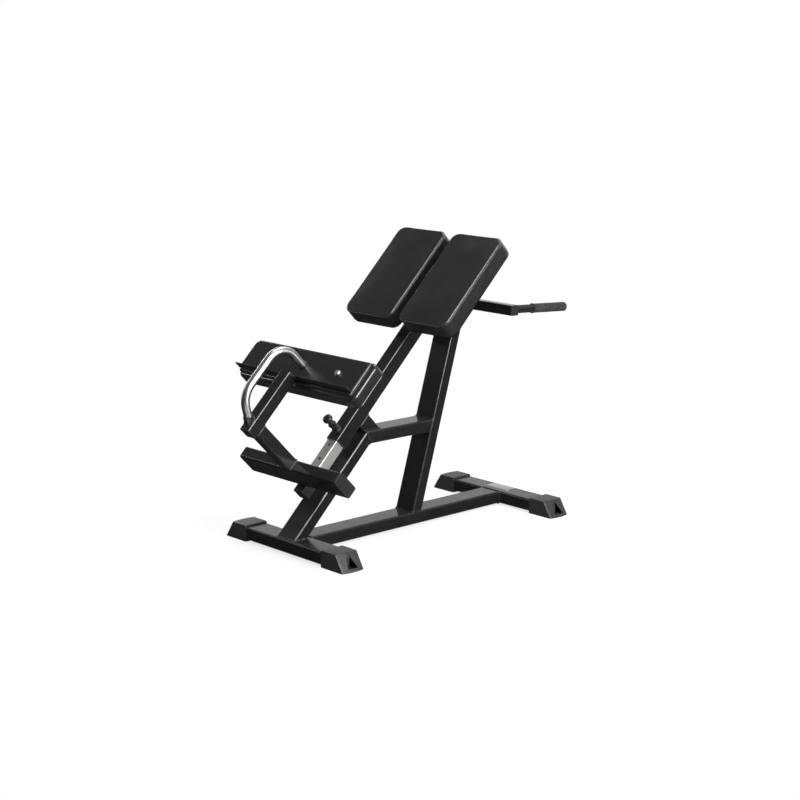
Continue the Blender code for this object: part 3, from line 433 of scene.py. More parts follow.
class NodeSheet:
    """The nodes of a material or of the world, laid out by short calls."""

    def __init__(self, owner: Material | bpy.types.World) -> None:
        """Empty the nodes of a material or a world, and start a material with a shader wired to its output.

        Args:
            owner: what the nodes belong to.
        """
        owner.use_nodes = True
        self.tree = owner.node_tree
        self.tree.nodes.clear()
        self.output = self.add("OutputMaterial" if isinstance(owner, Material) else "OutputWorld")
        if isinstance(owner, Material):
            self.material = owner
            self.shader = self.add("BsdfPrincipled")
            self.plug(self.output.inputs["Surface"], self.shader.outputs[0])
            self.place = self.add("TexCoord").outputs["Object"]

    @classmethod
    def named(cls, name: str) -> "NodeSheet":
        """Return the sheet of a new material."""
        return cls(bpy.data.materials.new(name))

    def add(self, kind: str, inputs: dict[object, object] | None = None, **settings: object) -> Node:
        """Add a node.

        Args:
            kind: the node's type without its ShaderNode prefix.
            inputs: values or sockets for its inputs, by name or number.
            settings: properties of the node.

        Returns:
            The node.
        """
        node = self.tree.nodes.new("ShaderNode" + kind)
        configure(node, **settings)
        for key, value in (inputs or {}).items():
            self.plug(node.inputs[key], value)
        return node

    def plug(self, socket: Socket, value: object) -> None:
        """Set a socket's value, or link another socket to it.

        Args:
            socket: the socket that is fed.
            value: its value, or the socket that feeds it.
        """
        if isinstance(value, Socket):
            self.tree.links.new(value, socket)
        else:
            socket.default_value = value

    def surface(self, **inputs: object) -> Material:
        """Set or link the shader's inputs.

        Args:
            inputs: values or sockets, with underscores for spaces in the inputs' names.

        Returns:
            The finished material.
        """
        for name, value in inputs.items():
            self.plug(self.shader.inputs[name.replace("_", " ")], value)
        return self.material

    def output_mix(self, share: Socket, first: Node, second: Node) -> None:
        """Wire the output to a mix of two shaders, by the second one's share."""
        mix = self.add("MixShader", {0: share, 1: first.outputs[0], 2: second.outputs[0]})
        self.plug(self.output.inputs["Surface"], mix.outputs[0])

    def scaled(self, vector: Socket, scale: Sequence[float]) -> Socket:
        """Return coordinates scaled along each axis."""
        return self.add("Mapping", {"Vector": vector, "Scale": scale}).outputs[0]

    def along_slope(self, scale: Sequence[float]) -> Socket:
        """Return the object's coordinates turned to run up the slope, and then scaled."""
        turned_place = self.add("Mapping", {"Vector": self.place, "Rotation": (-INCLINE, 0.0, 0.0)})
        return self.scaled(turned_place.outputs[0], scale)

    def noise(self, scale: float, detail: float = 3.0, vector: Socket | None = None,
              roughness: float = 0.55) -> Socket:
        """Add a noise pattern.

        Args:
            scale: how many of its waves fit in a metre.
            detail: how many finer waves it holds.
            vector: its coordinates, or the object's own if left out.
            roughness: how strong the finer waves are.

        Returns:
            The pattern's socket.
        """
        return self.add("TexNoise", {"Vector": vector or self.place, "Scale": scale, "Detail": detail,
                                     "Roughness": roughness}).outputs[0]

    def cells(self, scale: float, feature: str = "F1") -> Socket:
        """Return a pattern of rounded cells, so many to the metre."""
        node = self.add("TexVoronoi", {"Vector": self.place, "Scale": scale}, feature=feature)
        return node.outputs["Distance"]

    def spread(self, value: Socket, low: float = 0.0, high: float = 1.0, start: float = 0.3,
               end: float = 0.7) -> Socket:
        """Return a value between start and end stretched to run from low to high."""
        return self.add("MapRange", {"Value": value, "From Min": start, "From Max": end, "To Min": low,
                                     "To Max": high}).outputs[0]

    def blend(self, amount: object, first: object, second: object) -> Socket:
        """Mix two colours.

        Args:
            amount: the share of the second colour.
            first: one colour.
            second: the other.

        Returns:
            The mixed colour's socket.
        """
        node = self.add("Mix", data_type="RGBA")
        for number, value in ((0, amount), (6, first), (7, second)):
            self.plug(node.inputs[number], value)
        return node.outputs[2]

    def math(self, operation: str, first: object, second: object = 0.0) -> Socket:
        """Return the result of one sum."""
        return self.add("Math", {0: first, 1: second}, operation=operation).outputs[0]

    def measure(self, operation: str, first: object, second: object = (0.0, 0.0, 0.0)) -> Socket:
        """Return the number that one or two vectors give."""
        return self.add("VectorMath", {0: first, 1: second}, operation=operation).outputs["Value"]

    def edges(self, radius: float = 0.003) -> Socket:
        """Mask the piece's sharp edges, where the finish wears, and its rounded corners whose normal leans
        half across the bench, where the mask is a painted highlight.

        Args:
            radius: how far from a sharp edge the mask reaches, in metres, or 0 for the rounded corners'
                painted highlight alone.

        Returns:
            The socket of a mask that is 1 there, broken by gaps.
        """
        normal = self.add("NewGeometry").outputs["Normal"]
        across = self.add("SeparateXYZ", {0: normal}).outputs["X"]
        # Painted highlight: the mask rises on rounded corners whose normal leans half across the bench,
        # standing in for the lamps' glint there.
        square = self.math("MULTIPLY", across, across)
        corner = self.math("MULTIPLY", square, self.math("SUBTRACT", 1.0, square))
        mask = self.spread(corner, start=0.05, end=0.22)
        if radius:
            rounded = self.add("Bevel", {"Radius": radius}, samples=4).outputs[0]
            turn = self.measure("DOT_PRODUCT", normal, rounded)
            mask = self.math("MAXIMUM", mask, self.spread(turn, 1.0, 0.0, 0.80, 0.985))
        gaps = self.spread(self.noise(70.0, 5.0, roughness=0.7), start=0.38, end=0.60)
        return self.math("MULTIPLY", mask, gaps)

    def wear_and_sheen(self, pattern: Socket, radius: float = 0.003) -> Socket:
        """Return a mask that is 1 at a pattern's peaks, along the sharp edges where the finish wears, and on
        the rounded corners' painted highlight.
        """
        return self.math("MAXIMUM", pattern, self.edges(radius))

    def bump(self, height: Socket, depth: float, under: Socket | None = None) -> Socket:
        """Raise the surface by a pattern.

        Args:
            height: the pattern.
            depth: how tall it is, in metres.
            under: a raised surface that lies under it.

        Returns:
            The normal's socket.
        """
        node = self.add("Bump", {"Height": height, "Distance": depth, "Strength": 1.0})
        if under is not None:
            self.plug(node.inputs["Normal"], under)
        return node.outputs[0]


def grey(value: float, warmth: float = 0.0) -> Colour:
    """Return a grey, made warmer by a positive warmth and cooler by a negative one."""
    return (value * (1 + warmth), value, value * (1 - warmth), 1.0)


@dataclass(frozen=True)
class PowderCoat:
    """Satin black powder coat with its fine orange peel, paler along the sharp edges where it wears, with a
    painted highlight along the rounded corners.
    """

    name: str = "powder_coat_black"
    colour: Colour = grey(0.0062, -0.03)
    dusty: Colour = grey(0.0092)
    # Colour of the sharp edges where the coat wears, and of the painted highlight on rounded corners.
    edge_rub_and_sheen: Colour = grey(0.030)
    roughness: float = 0.34
    reflection: float = 0.24
    lacquer: float = 0.8
    lacquer_roughness: float = 0.13
    peel_scale: float = 620.0
    peel_depth: float = 0.000022

    def make(self) -> Material:
        """Make the material.

        Returns:
            The material.
        """
        sheet = NodeSheet.named(self.name)
        coat = sheet.blend(sheet.spread(sheet.noise(9.0, 4.0)), self.colour, self.dusty)
        cloud = sheet.noise(60.0, 5.0)
        return sheet.surface(
            # Paler along the edges: wear on sharp edges, and a painted highlight on rounded corners.
            Base_Color=sheet.blend(sheet.edges(), coat, self.edge_rub_and_sheen),
            Roughness=sheet.spread(cloud, self.roughness - 0.04, self.roughness + 0.07),
            Specular_IOR_Level=self.reflection, Coat_Weight=self.lacquer,
            Coat_Roughness=self.lacquer_roughness,
            Normal=sheet.bump(sheet.noise(self.peel_scale, 2.0), self.peel_depth))


@dataclass(frozen=True)
class BrushedTube:
    """Brushed silver tube whose lowest stretch is painted black."""

    steel: Colour = grey(0.60, 0.03)
    bright: Colour = grey(0.74, 0.03)
    paint: Colour = grey(0.012)
    painted_to: float = 0.2385
    grain: tuple[float, float, float] = (900.0, 14.0, 900.0)

    def make(self) -> Material:
        """Make the material.

        Returns:
            The material.
        """
        sheet = NodeSheet.named("brushed_silver_tube")
        streaks = sheet.noise(1.0, 5.0, sheet.along_slope(self.grain))
        # Brighter at the brushing streaks and along the sharp edges where it wears, with a painted highlight
        # along the rounded corners.
        metal = sheet.blend(sheet.wear_and_sheen(sheet.spread(streaks)), self.steel, self.bright)
        parts = sheet.add("SeparateXYZ", {0: sheet.place})
        height = sheet.math("ADD", parts.outputs["Y"], parts.outputs["Z"])
        level = (SLOPE_ORIGIN.y + SLOPE_ORIGIN.z) + self.painted_to * 2 * math.sin(INCLINE)
        is_bare = sheet.math("GREATER_THAN", height, level)
        return sheet.surface(Base_Color=sheet.blend(is_bare, self.paint, metal), Metallic=is_bare,
                             Roughness=sheet.spread(streaks, 0.38, 0.52),
                             Normal=sheet.bump(streaks, 0.00002))


@dataclass(frozen=True)
class PolishedSteel:
    """Polished stainless tube, whose polishing marks run round it and draw each lamp out along it."""

    steel: Colour = grey(0.50, 0.015)
    bright: Colour = grey(0.60, 0.01)
    roughness: float = 0.35
    drawn_out: float = 0.35

    def make(self) -> Material:
        """Make the material.

        Returns:
            The material.
        """
        sheet = NodeSheet.named("polished_stainless")
        tube = sheet.add("UVMap", uv_map=TUBE_MAP).outputs[0]
        marks = sheet.noise(1.0, 4.0, sheet.scaled(tube, (900.0, 6.0, 1.0)))
        return sheet.surface(
            Base_Color=sheet.blend(sheet.spread(sheet.noise(28.0)), self.steel, self.bright), Metallic=1.0,
            Roughness=sheet.spread(marks, self.roughness - 0.03, self.roughness + 0.05),
            Anisotropic=self.drawn_out, Normal=sheet.bump(marks, 0.000006),
            Tangent=sheet.add("Tangent", direction_type="UV_MAP", uv_map=TUBE_MAP).outputs[0])


@dataclass(frozen=True)
class MouldedPlastic:
    """Black moulded plastic with a fine spark-eroded grain."""

    name: str = "moulded_plastic"
    colour: Colour = grey(0.014)
    pale: Colour = grey(0.030)
    roughness: float = 0.46
    grain_scale: float = 950.0
    grain_depth: float = 0.00006

    def make(self) -> Material:
        """Make the material.

        Returns:
            The material.
        """
        sheet = NodeSheet.named(self.name)
        mottle = sheet.noise(260.0, 4.0, roughness=0.7)
        # Paler in random patches and along the sharp edges where it wears, with a painted highlight along
        # the rounded corners.
        patches_and_sheen = sheet.wear_and_sheen(sheet.spread(mottle, start=0.42, end=0.66), 0.002)
        return sheet.surface(
            Base_Color=sheet.blend(patches_and_sheen, self.colour, self.pale),
            Roughness=sheet.spread(mottle, self.roughness - 0.10, self.roughness + 0.12),
            Specular_IOR_Level=0.42, Coat_Weight=0.35, Coat_Roughness=0.2,
            Normal=sheet.bump(sheet.noise(self.grain_scale, 2.0), self.grain_depth))


@dataclass(frozen=True)
class Rubber:
    """Matt black rubber of the hand grips."""

    colour: Colour = grey(0.013)
    dusty: Colour = grey(0.026)

    def make(self) -> Material:
        """Make the material.

        Returns:
            The material.
        """
        sheet = NodeSheet.named("grip_rubber_black")
        cloud = sheet.noise(45.0, 4.0)
        return sheet.surface(
            # Paler in a random cloud and along the sharp edges, with a painted highlight along the rounded
            # corners.
            Base_Color=sheet.blend(sheet.wear_and_sheen(sheet.spread(cloud)), self.colour, self.dusty),
            Roughness=sheet.spread(cloud, 0.62, 0.78), Specular_IOR_Level=0.35,
            Normal=sheet.bump(sheet.cells(1100.0), 0.00007))


@dataclass(frozen=True)
class Vinyl:
    """Black upholstery vinyl with a fine pebbled grain."""

    colour: Colour = grey(0.0108, -0.01)
    # Tone of the random cloud, and of the painted highlight on rounded corners.
    wear_and_sheen: Colour = grey(0.0136)
    roughness: float = 0.33
    reflection: float = 0.30
    topcoat: float = 0.9
    pebble_scale: float = 1150.0
    pebble_depth: float = 0.00003
    wrinkle_depth: float = 0.0004

    def make(self) -> Material:
        """Make the material.

        Returns:
            The material.
        """
        sheet = NodeSheet.named("pad_vinyl_black")
        pebble = sheet.math("MULTIPLY", sheet.cells(self.pebble_scale, "SMOOTH_F1"), -1.0)
        grain = sheet.math("ADD", pebble, sheet.math("MULTIPLY", sheet.noise(520.0, 2.0), 0.5))
        wrinkles = sheet.bump(sheet.noise(16.0, 2.0), self.wrinkle_depth)
        cloud = sheet.noise(11.0, 4.0)
        return sheet.surface(
            # Paler in a random cloud, with a painted highlight along the rounded corners of the cushions'
            # edges.
            Base_Color=sheet.blend(sheet.wear_and_sheen(sheet.spread(cloud), 0.0), self.colour, self.wear_and_sheen),
            Roughness=sheet.spread(cloud, self.roughness - 0.04, self.roughness + 0.06),
            Specular_IOR_Level=self.reflection, Coat_Weight=self.topcoat, Coat_Roughness=0.13,
            Normal=sheet.bump(grain, self.pebble_depth, wrinkles))


@dataclass(frozen=True)
class Thread:
    """Dark grey sewing thread, twisted."""

    colour: Colour = grey(0.10)
    dark: Colour = grey(0.04)

    def make(self) -> Material:
        """Make the material.

        Returns:
            The material.
        """
        sheet = NodeSheet.named("sewing_thread")
        twist = sheet.noise(3200.0, 2.0)
        return sheet.surface(Base_Color=sheet.blend(sheet.spread(twist), self.dark, self.colour),
                             Roughness=0.55, Normal=sheet.bump(twist, 0.00015))


@dataclass(frozen=True)
class Plywood:
    """Bare plywood board with its face grain and its layered edge."""

    pale: Colour = (0.33, 0.22, 0.125, 1.0)
    dark: Colour = (0.20, 0.12, 0.062, 1.0)
    layer: float = 0.0024
    wave: float = 0.314

    def make(self) -> Material:
        """Make the material.

        Returns:
            The material.
        """
        sheet = NodeSheet.named("plywood_board")
        grain = sheet.noise(1.0, 6.0, sheet.along_slope((60.0, 5.0, 60.0)), roughness=0.65)
        fine = sheet.noise(1.0, 4.0, sheet.along_slope((900.0, 30.0, 900.0)))
        layers = sheet.add("TexWave", {"Vector": sheet.along_slope((0.0, 0.0, 1.0)),
                                       "Scale": self.wave / self.layer, "Distortion": 0.0}).outputs["Fac"]
        wood = sheet.blend(sheet.spread(grain), self.dark, self.pale)
        # Darker along the ply lines, the sharp edges and the rounded corners.
        shade = sheet.wear_and_sheen(sheet.math("MULTIPLY", layers, 0.18))
        return sheet.surface(Base_Color=sheet.blend(shade, wood, self.dark),
                             Roughness=sheet.spread(fine, 0.62, 0.82), Normal=sheet.bump(fine, 0.00012))


@dataclass(frozen=True)
class PlainPlastic:
    """Light grey plastic of the grips' end rings."""

    colour: Colour = grey(0.30)
    pale: Colour = grey(0.38)

    def make(self) -> Material:
        """Make the material.

        Returns:
            The material.
        """
        sheet = NodeSheet.named("end_ring_grey")
        cloud = sheet.noise(90.0, 4.0)
        # Paler in a random cloud and along the sharp edges where it wears, with a painted highlight along
        # the rounded corners.
        scuffs_and_sheen = sheet.wear_and_sheen(sheet.spread(cloud), 0.001)
        return sheet.surface(Base_Color=sheet.blend(scuffs_and_sheen, self.colour, self.pale),
                             Roughness=sheet.spread(cloud, 0.36, 0.50),
                             Normal=sheet.bump(sheet.noise(1200.0), 0.00003))


@dataclass(frozen=True)
class PlatedSteel:
    """Bright zinc plating, with the faint spangle it has."""

    name: str = "zinc_plating"
    colour: Colour = grey(0.60, -0.02)
    bright: Colour = grey(0.76, -0.01)
    roughness: float = 0.34

    def make(self) -> Material:
        """Make the material.

        Returns:
            The material.
        """
        sheet = NodeSheet.named(self.name)
        spangle = sheet.spread(sheet.cells(420.0), start=0.0, end=0.8)
        # Brighter along the sharp edges where it wears, with a painted highlight along the rounded corners.
        dull = sheet.math("SUBTRACT", spangle, sheet.edges(0.0006))
        fine = sheet.noise(1500.0)
        return sheet.surface(Base_Color=sheet.blend(dull, self.bright, self.colour), Metallic=1.0,
                             Roughness=sheet.spread(fine, self.roughness - 0.05, self.roughness + 0.10),
                             Normal=sheet.bump(fine, 0.00001))


class Finishes:
    """Every finish of the bench, made once."""

    def __init__(self) -> None:
        """Make the materials."""
        self.powder = PowderCoat().make()
        self.bracket = PowderCoat(name="bracket_coat_black", lacquer_roughness=0.33).make()
        self.polished = PolishedSteel().make()
        self.cap = MouldedPlastic("cap_plastic", grey(0.009), grey(0.017), 0.40).make()
        self.knob = MouldedPlastic("knob_plastic", pale=grey(0.02), roughness=0.40,
                                   grain_depth=0.00004).make()
        self.vinyl = Vinyl().make()
        self.thread = Thread().make()
        self.zinc = PlatedSteel().make()
        self.plate = PlatedSteel("bare_plate", grey(0.66), grey(0.80), 0.35).make()
        self.by_slot = {Slot.POWDER: self.powder, Slot.SILVER: BrushedTube().make(),
                        Slot.POLISHED: self.polished, Slot.PLASTIC: MouldedPlastic().make(),
                        Slot.RUBBER: Rubber().make(), Slot.END_RING: PlainPlastic().make(),
                        Slot.VINYL: self.vinyl, Slot.PLYWOOD: Plywood().make(), Slot.ZINC: self.zinc}

    def for_node(self, name: str, slot: Slot) -> Material:
        """Return the finish of a solid that stays in view.

        Args:
            name: the solid's name.
            slot: its slot in the record.

        Returns:
            The material.
        """
        if "_cap" in name:
            return self.cap
        if name == "calf_bracket":
            return self.bracket
        return self.by_slot[slot]


def settle(piece: Piece, body: Body, material: Material, stands_for: str = "") -> None:
    """Give a finished piece its material, let it ride on its body, and report it.

    Args:
        piece: the finished piece, its place already in its mesh.
        body: the body that it moves with.
        material: its material.
        stands_for: the solid that it replaces, if any.
    """
    piece.data.name = piece.name
    piece.data.materials.clear()
    piece.data.materials.append(material)
    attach(piece, body.value)
    if stands_for:
        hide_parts(stands_for)
    LOG.info("piece on the %s: %s", body.value, piece.name)


@dataclass
class SolidFrame:
    """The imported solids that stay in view, with softened edges and their finishes."""

    finishes: Finishes
    edge: float = 0.0009
    sharp_from: float = 40.0
    replaced: tuple[str, ...] = (
        "hip_pad_left", "hip_pad_right", "calf_cushion", "calf_board", "loop_handle", "pull_knob",
        "pin_barrel", "calf_bolt_left", "calf_bolt_right")

    def build(self) -> None:
        """Dress every solid that isn't replaced."""
        slots = {row["node"]: row["material_slot"] for row in frame["record"]["subparts"]}
        for name, node in frame["nodes"].items():
            if name in self.replaced:
                continue
            self.soften(node)
            material = self.finishes.for_node(name, Slot(slots[name]))
            for material_slot in node.material_slots:
                material_slot.material = material
            LOG.info("solid: %s", name)

    def soften(self, node: Piece) -> None:
        """Give a solid smooth round faces and a small bevel on its sharp edges, by modifiers alone.

        Args:
            node: the solid.
        """
        activate(node)
        bpy.ops.mesh.customdata_custom_splitnormals_clear()
        bpy.ops.object.shade_smooth()
        add_modifier(node, "WELD", merge_threshold=0.00002)
        add_modifier(node, "BEVEL", width=self.edge, segments=3, limit_method="ANGLE", harden_normals=False,
                     angle_limit=math.radians(self.sharp_from))
        add_modifier(node, "WEIGHTED_NORMAL", mode="FACE_AREA", weight=100)


def row_of(unit: Piece, places: Sequence[Matrix], name: str) -> Piece:
    """Repeat one small piece at many places as a single mesh.

    Args:
        unit: the piece that repeats, which is used up.
        places: the matrix of each copy.
        name: the row's name.

    Returns:
        The row.
    """
    points = [vert.co.copy() for vert in unit.data.vertices]
    faces = [tuple(face.vertices) for face in unit.data.polygons]
    verts: list[Vector] = []
    rows: list[tuple[int, ...]] = []
    for place in places:
        start = len(verts)
        verts.extend(place @ point for point in points)
        rows.extend(tuple(start + corner for corner in face) for face in faces)
    mesh = bpy.data.meshes.new(name)
    mesh.from_pydata(verts, [], rows)
    bpy.data.objects.remove(unit)
    row = add_object(name, mesh)
    smooth(row, 60.0)
    return row


@dataclass
class Cushion:
    """A foam cushion under a tight vinyl cover, swollen by a short cloth simulation.

    Its own axes are X and Y along its face, and Z from its back to its crown. The cover's seam runs round
    the crown's edge: a valley with a rolled ridge on each side and a stitch every few millimetres.
    """

    name: str
    width: float
    length: float
    thickness: float
    corner: float
    back_rounding: float
    rounding: float = 0.0075
    margin: float = 0.0014
    swell_cap: float = 0.0050
    dent_cap: float = 0.0010
    voxel: float = 0.0052
    held_height: float = 0.0130
    frames: int = 20
    pressure: float = 4.0
    relax_rounds: int = 24
    band: float = 0.0085
    valley_depth: float = 0.0014
    valley_reach: float = 0.0024
    ridge_height: float = 0.0014
    ridge_place: float = 0.0043
    ridge_reach: float = 0.0016
    pucker: float = 0.14
    stitch_pitch: float = 0.0064
    stitch_place: float = 0.0026
    stitch_size: Size = (0.0020, 0.00042, 0.00036)
    stitch_lean: float = 0.7
    stitch_lift: float = 0.4
    probe: float = 0.03

    @property
    def core(self) -> tuple[float, float]:
        """Half the width and half the length between the round corners' middles."""
        return self.width / 2 - self.corner, self.length / 2 - self.corner

    @property
    def girth(self) -> float:
        """The length of the outline."""
        return 4 * sum(self.core) + math.tau * self.corner

    def build(self) -> Piece:
        """Make the cushion.

        Returns:
            The cushion, still at the origin with its back on z = 0.
        """
        body = self.block()
        self.swell(body)
        add_modifier(body, "SUBSURF", levels=1, render_levels=1)
        apply_modifiers(body)
        with edit_mode(body):
            pick(body, Element.FACE, lambda face: abs(self.seam_gap(face.calc_center_median())) < self.band)
            bpy.ops.mesh.subdivide(number_cuts=2)
        self.press_seam(body)
        smooth(body, 60.0)
        return body

    def block(self) -> Piece:
        """Make the starting block.

        Returns:
            A block a little smaller than the finished cushion, with an even mesh.
        """
        width, length = self.width - 2 * self.margin, self.length - 2 * self.margin
        height = self.thickness - self.margin
        body = add_cube(self.name, (width, length, height), (0.0, 0.0, height / 2))
        with edit_mode(body):
            pick(body, Element.EDGE, lambda edge: rises(edge) > height / 2)
            bevel(self.corner - self.margin, 8)
            pick(body, Element.EDGE, lambda edge: min(vert.co.z for vert in edge.verts) > height * 0.99)
            bevel(self.rounding, 5)
            pick(body, Element.EDGE, lambda edge: max(vert.co.z for vert in edge.verts) < height * 0.01)
            bevel(self.back_rounding, 5)
        add_modifier(body, "REMESH", mode="VOXEL", voxel_size=self.voxel)
        apply_modifiers(body)
        return body

    def swell(self, body: Piece) -> None:
        """Swell the block by air pressure with its back held, then even out and limit each point's move.

        Args:
            body: the block.
        """
        rest = [vert.co.copy() for vert in body.data.vertices]
        normals = [vert.normal.copy() for vert in body.data.vertices]
        held = body.vertex_groups.new(name="held")
        held.add([index for index, point in enumerate(rest) if point.z < self.held_height], 1.0, "REPLACE")
        cloth = add_modifier(body, "CLOTH")
        configure(cloth.settings, quality=6, mass=0.25, tension_stiffness=18.0, compression_stiffness=18.0,
                  shear_stiffness=8.0, bending_stiffness=1.5, use_pressure=True,
                  uniform_pressure_force=self.pressure, vertex_group_mass=held.name)
        cloth.settings.effector_weights.gravity = 0.0
        cloth.point_cache.frame_end = self.frames
        for number in range(1, self.frames + 1):
            bpy.context.scene.frame_set(number)
        apply_modifiers(body)
        bpy.context.scene.frame_set(1)
        moves = self.relax(body, [vert.co - start for vert, start in zip(body.data.vertices, rest)])
        share = min(1.0, self.swell_cap / max(move.length for move in moves))
        for vert, start, normal, move in zip(body.data.vertices, rest, normals, moves):
            inward = min(0.0, move.dot(normal) * share)
            vert.co = start + move * share - normal * min(0.0, inward + self.dent_cap)
        body.vertex_groups.clear()

    def relax(self, body: Piece, moves: list[Vector]) -> list[Vector]:
        """Even out the points' moves over their neighbours, so that the cover has no dents.

        Args:
            body: the cushion.
            moves: how far each point has moved.

        Returns:
            The moves, evened out.
        """
        neighbours: list[list[int]] = [[] for _move in moves]
        for edge in body.data.edges:
            first, second = edge.vertices
            neighbours[first].append(second)
            neighbours[second].append(first)
        for _round in range(self.relax_rounds):
            moves = [(moves[index] + sum((moves[other] for other in near), Vector()) / len(near)) / 2
                     for index, near in enumerate(neighbours)]
        return moves

    def nearest(self, point: Vector) -> tuple[Vector, Vector, float]:
        """Find a point's place on the cushion's outline.

        Args:
            point: a point of the cushion; its height doesn't matter.

        Returns:
            The flat direction out of the nearest side, the outline's nearest point, and how far round the
            outline that is.
        """
        half_x, half_y = self.core
        core = Vector((max(-half_x, min(half_x, point.x)), max(-half_y, min(half_y, point.y)), 0.0))
        way = Vector((point.x, point.y, 0.0)) - core
        side = way.normalized() if way.length > 1e-6 else ACROSS.copy()
        turn = math.atan2(side.y, side.x) % math.tau
        quarter = int((turn + 1e-4) // (math.pi / 2)) % 4
        run = (core.y + half_y, 2 * half_y + half_x - core.x, 2 * half_y + 2 * half_x + half_y - core.y,
               4 * half_y + 2 * half_x + core.x + half_x)[quarter]
        return side, core + side * self.corner, run + self.corner * turn

    def seam_gap(self, point: Vector) -> float:
        """Measure how far a point lies from the seam.

        Args:
            point: a point of the cushion.

        Returns:
            The distance, more than zero towards the crown.
        """
        side, edge, _run = self.nearest(point)
        inset = (edge - point).dot(side)
        drop = self.thickness - point.z
        if max(inset, drop) > 3 * self.band:
            return 10 * self.band
        return (inset - drop) * math.sqrt(0.5)

    def press_seam(self, body: Piece) -> None:
        """Shape the seam's valley, its two ridges and the pucker of each stitch.

        Args:
            body: the cushion.
        """
        count = round(self.girth / self.stitch_pitch)
        normals = [vert.normal.copy() for vert in body.data.vertices]
        for vert, normal in zip(body.data.vertices, normals):
            gap = self.seam_gap(vert.co)
            if abs(gap) > 2 * self.band:
                continue
            run = self.nearest(vert.co)[2]
            ripple = self.pucker * math.cos(math.tau * count * run / self.girth)
            valley = self.valley_depth * (1.0 + ripple) * math.exp(-(gap / self.valley_reach) ** 2)
            rise = abs(gap) - self.ridge_place
            ridge = self.ridge_height * (1.0 - ripple) * math.exp(-(rise / self.ridge_reach) ** 2)
            vert.co += normal * (ridge - valley)

    def stitches(self, body: Piece) -> Piece:
        """Lay two rows of stitches on the sides of the seam's valley.

        Args:
            body: the cushion.

        Returns:
            The stitches as one piece.
        """
        tree = BVHTree.FromObject(body, bpy.context.evaluated_depsgraph_get())
        places: list[Matrix] = []
        for offset in (-self.stitch_place, self.stitch_place):
            spots: list[tuple[Vector, Vector]] = []
            for point in rounded_loop(self.width / 2, self.length / 2, self.corner, self.stitch_pitch):
                side = self.nearest(point)[0]
                aim = point + UP * self.thickness + (UP - side) * offset * self.stitch_lean
                way = (side + UP).normalized()
                spot, normal, _face, _distance = tree.ray_cast(aim + way * self.probe, -way, 2 * self.probe)
                if spot is not None:
                    spots.append((spot, normal))
            for index, (spot, normal) in enumerate(spots):
                ahead = spots[(index + 1) % len(spots)][0] - spots[index - 1][0]
                lifted = spot + normal * self.stitch_size[2] * self.stitch_lift
                places.append(axes(lifted, ahead, normal.cross(ahead)))
        deselect_all()
        bpy.ops.mesh.primitive_uv_sphere_add(segments=6, ring_count=4, radius=1.0)
        unit = bpy.context.object
        unit.scale = self.stitch_size
        bpy.ops.object.transform_apply(location=False, rotation=False, scale=True)
        return row_of(unit, places, self.name + "_stitches")


@dataclass
class HipPads:
    """The two hip pads with their stitched seams, and the folded cover stapled under their boards."""

    finishes: Finishes
    middle: float = 1.145
    base: float = 0.1001
    offset: float = 0.150
    width: float = 0.266
    length: float = 0.446
    thickness: float = 0.074
    corner: float = 0.038
    back_rounding: float = 0.0080
    fold: float = 0.034
    fold_inset: float = 0.004
    fold_thickness: float = 0.00022
    staple_pitch: float = 0.032
    staple_size: Size = (0.0055, 0.0006, 0.00018)
    staple_rounding: float = 0.00008
    staple_inset: float = 0.62
    staple_sunk: float = 0.3

    def build(self) -> None:
        """Make both pads from one cushion."""
        cushion = Cushion("hip_cushion", self.width, self.length, self.thickness, self.corner,
                          self.back_rounding)
        body = cushion.build()
        extras = (("stitches", cushion.stitches(body), Slot.VINYL, self.finishes.thread),
                  ("cover_fold", self.make_fold(), Slot.VINYL, self.finishes.vinyl),
                  ("staples", self.make_staples(), Slot.ZINC, self.finishes.zinc))
        for hand in Hand:
            place = slope_place(self.middle, self.base, hand.value * self.offset)
            pad = copy_of(body, f"hip_cushion_{hand.word}")
            bake_place(pad, place)
            settle(pad, Body.FRAME, self.finishes.vinyl, f"hip_pad_{hand.word}")
            for word, part, slot, material in extras:
                piece = copy_of(part, f"hip_{word}_{hand.word}")
                bake_place(piece, place)
                settle(piece, Body.FRAME, material)
        for part in (body, *(row[1] for row in extras)):
            bpy.data.objects.remove(part)

    def make_fold(self) -> Piece:
        """Make the edge of the cover, folded flat under the board.

        Returns:
            A thin ring, as seen on the pad's back.
        """
        inset = self.fold_inset
        size = (self.width - 2 * inset, self.length - 2 * inset, self.fold_thickness)
        fold = add_cube("cover_fold", size, (0.0, 0.0, -self.fold_thickness / 2))
        with edit_mode(fold):
            pick(fold, Element.EDGE, lambda edge: rises(edge) > self.fold_thickness / 2)
            bevel(self.corner - inset, 6)
            pick(fold, Element.FACE, lambda face: abs(face.normal.z) > 0.9)
            bpy.ops.mesh.inset(thickness=self.fold, depth=0.0)
            bpy.ops.mesh.bridge_edge_loops()
        recalculate(fold)
        return fold

    def make_staples(self) -> Piece:
        """Make the ring of staples that holds the cover to the board.

        Returns:
            The staples as one piece.
        """
        inset = self.fold * self.staple_inset
        ring = rounded_loop(self.width / 2 - inset, self.length / 2 - inset, self.corner - inset / 2,
                            self.staple_pitch)
        unit = add_cube("staple", self.staple_size)
        with edit_mode(unit):
            pick(unit, Element.EDGE)
            bevel(self.staple_rounding, 1)
        level = UP * (-self.fold_thickness - self.staple_size[2] * self.staple_sunk)
        places = [axes(point + level, ring[(index + 1) % len(ring)] - ring[index - 1], point)
                  for index, point in enumerate(ring)]
        return row_of(unit, places, "staples")


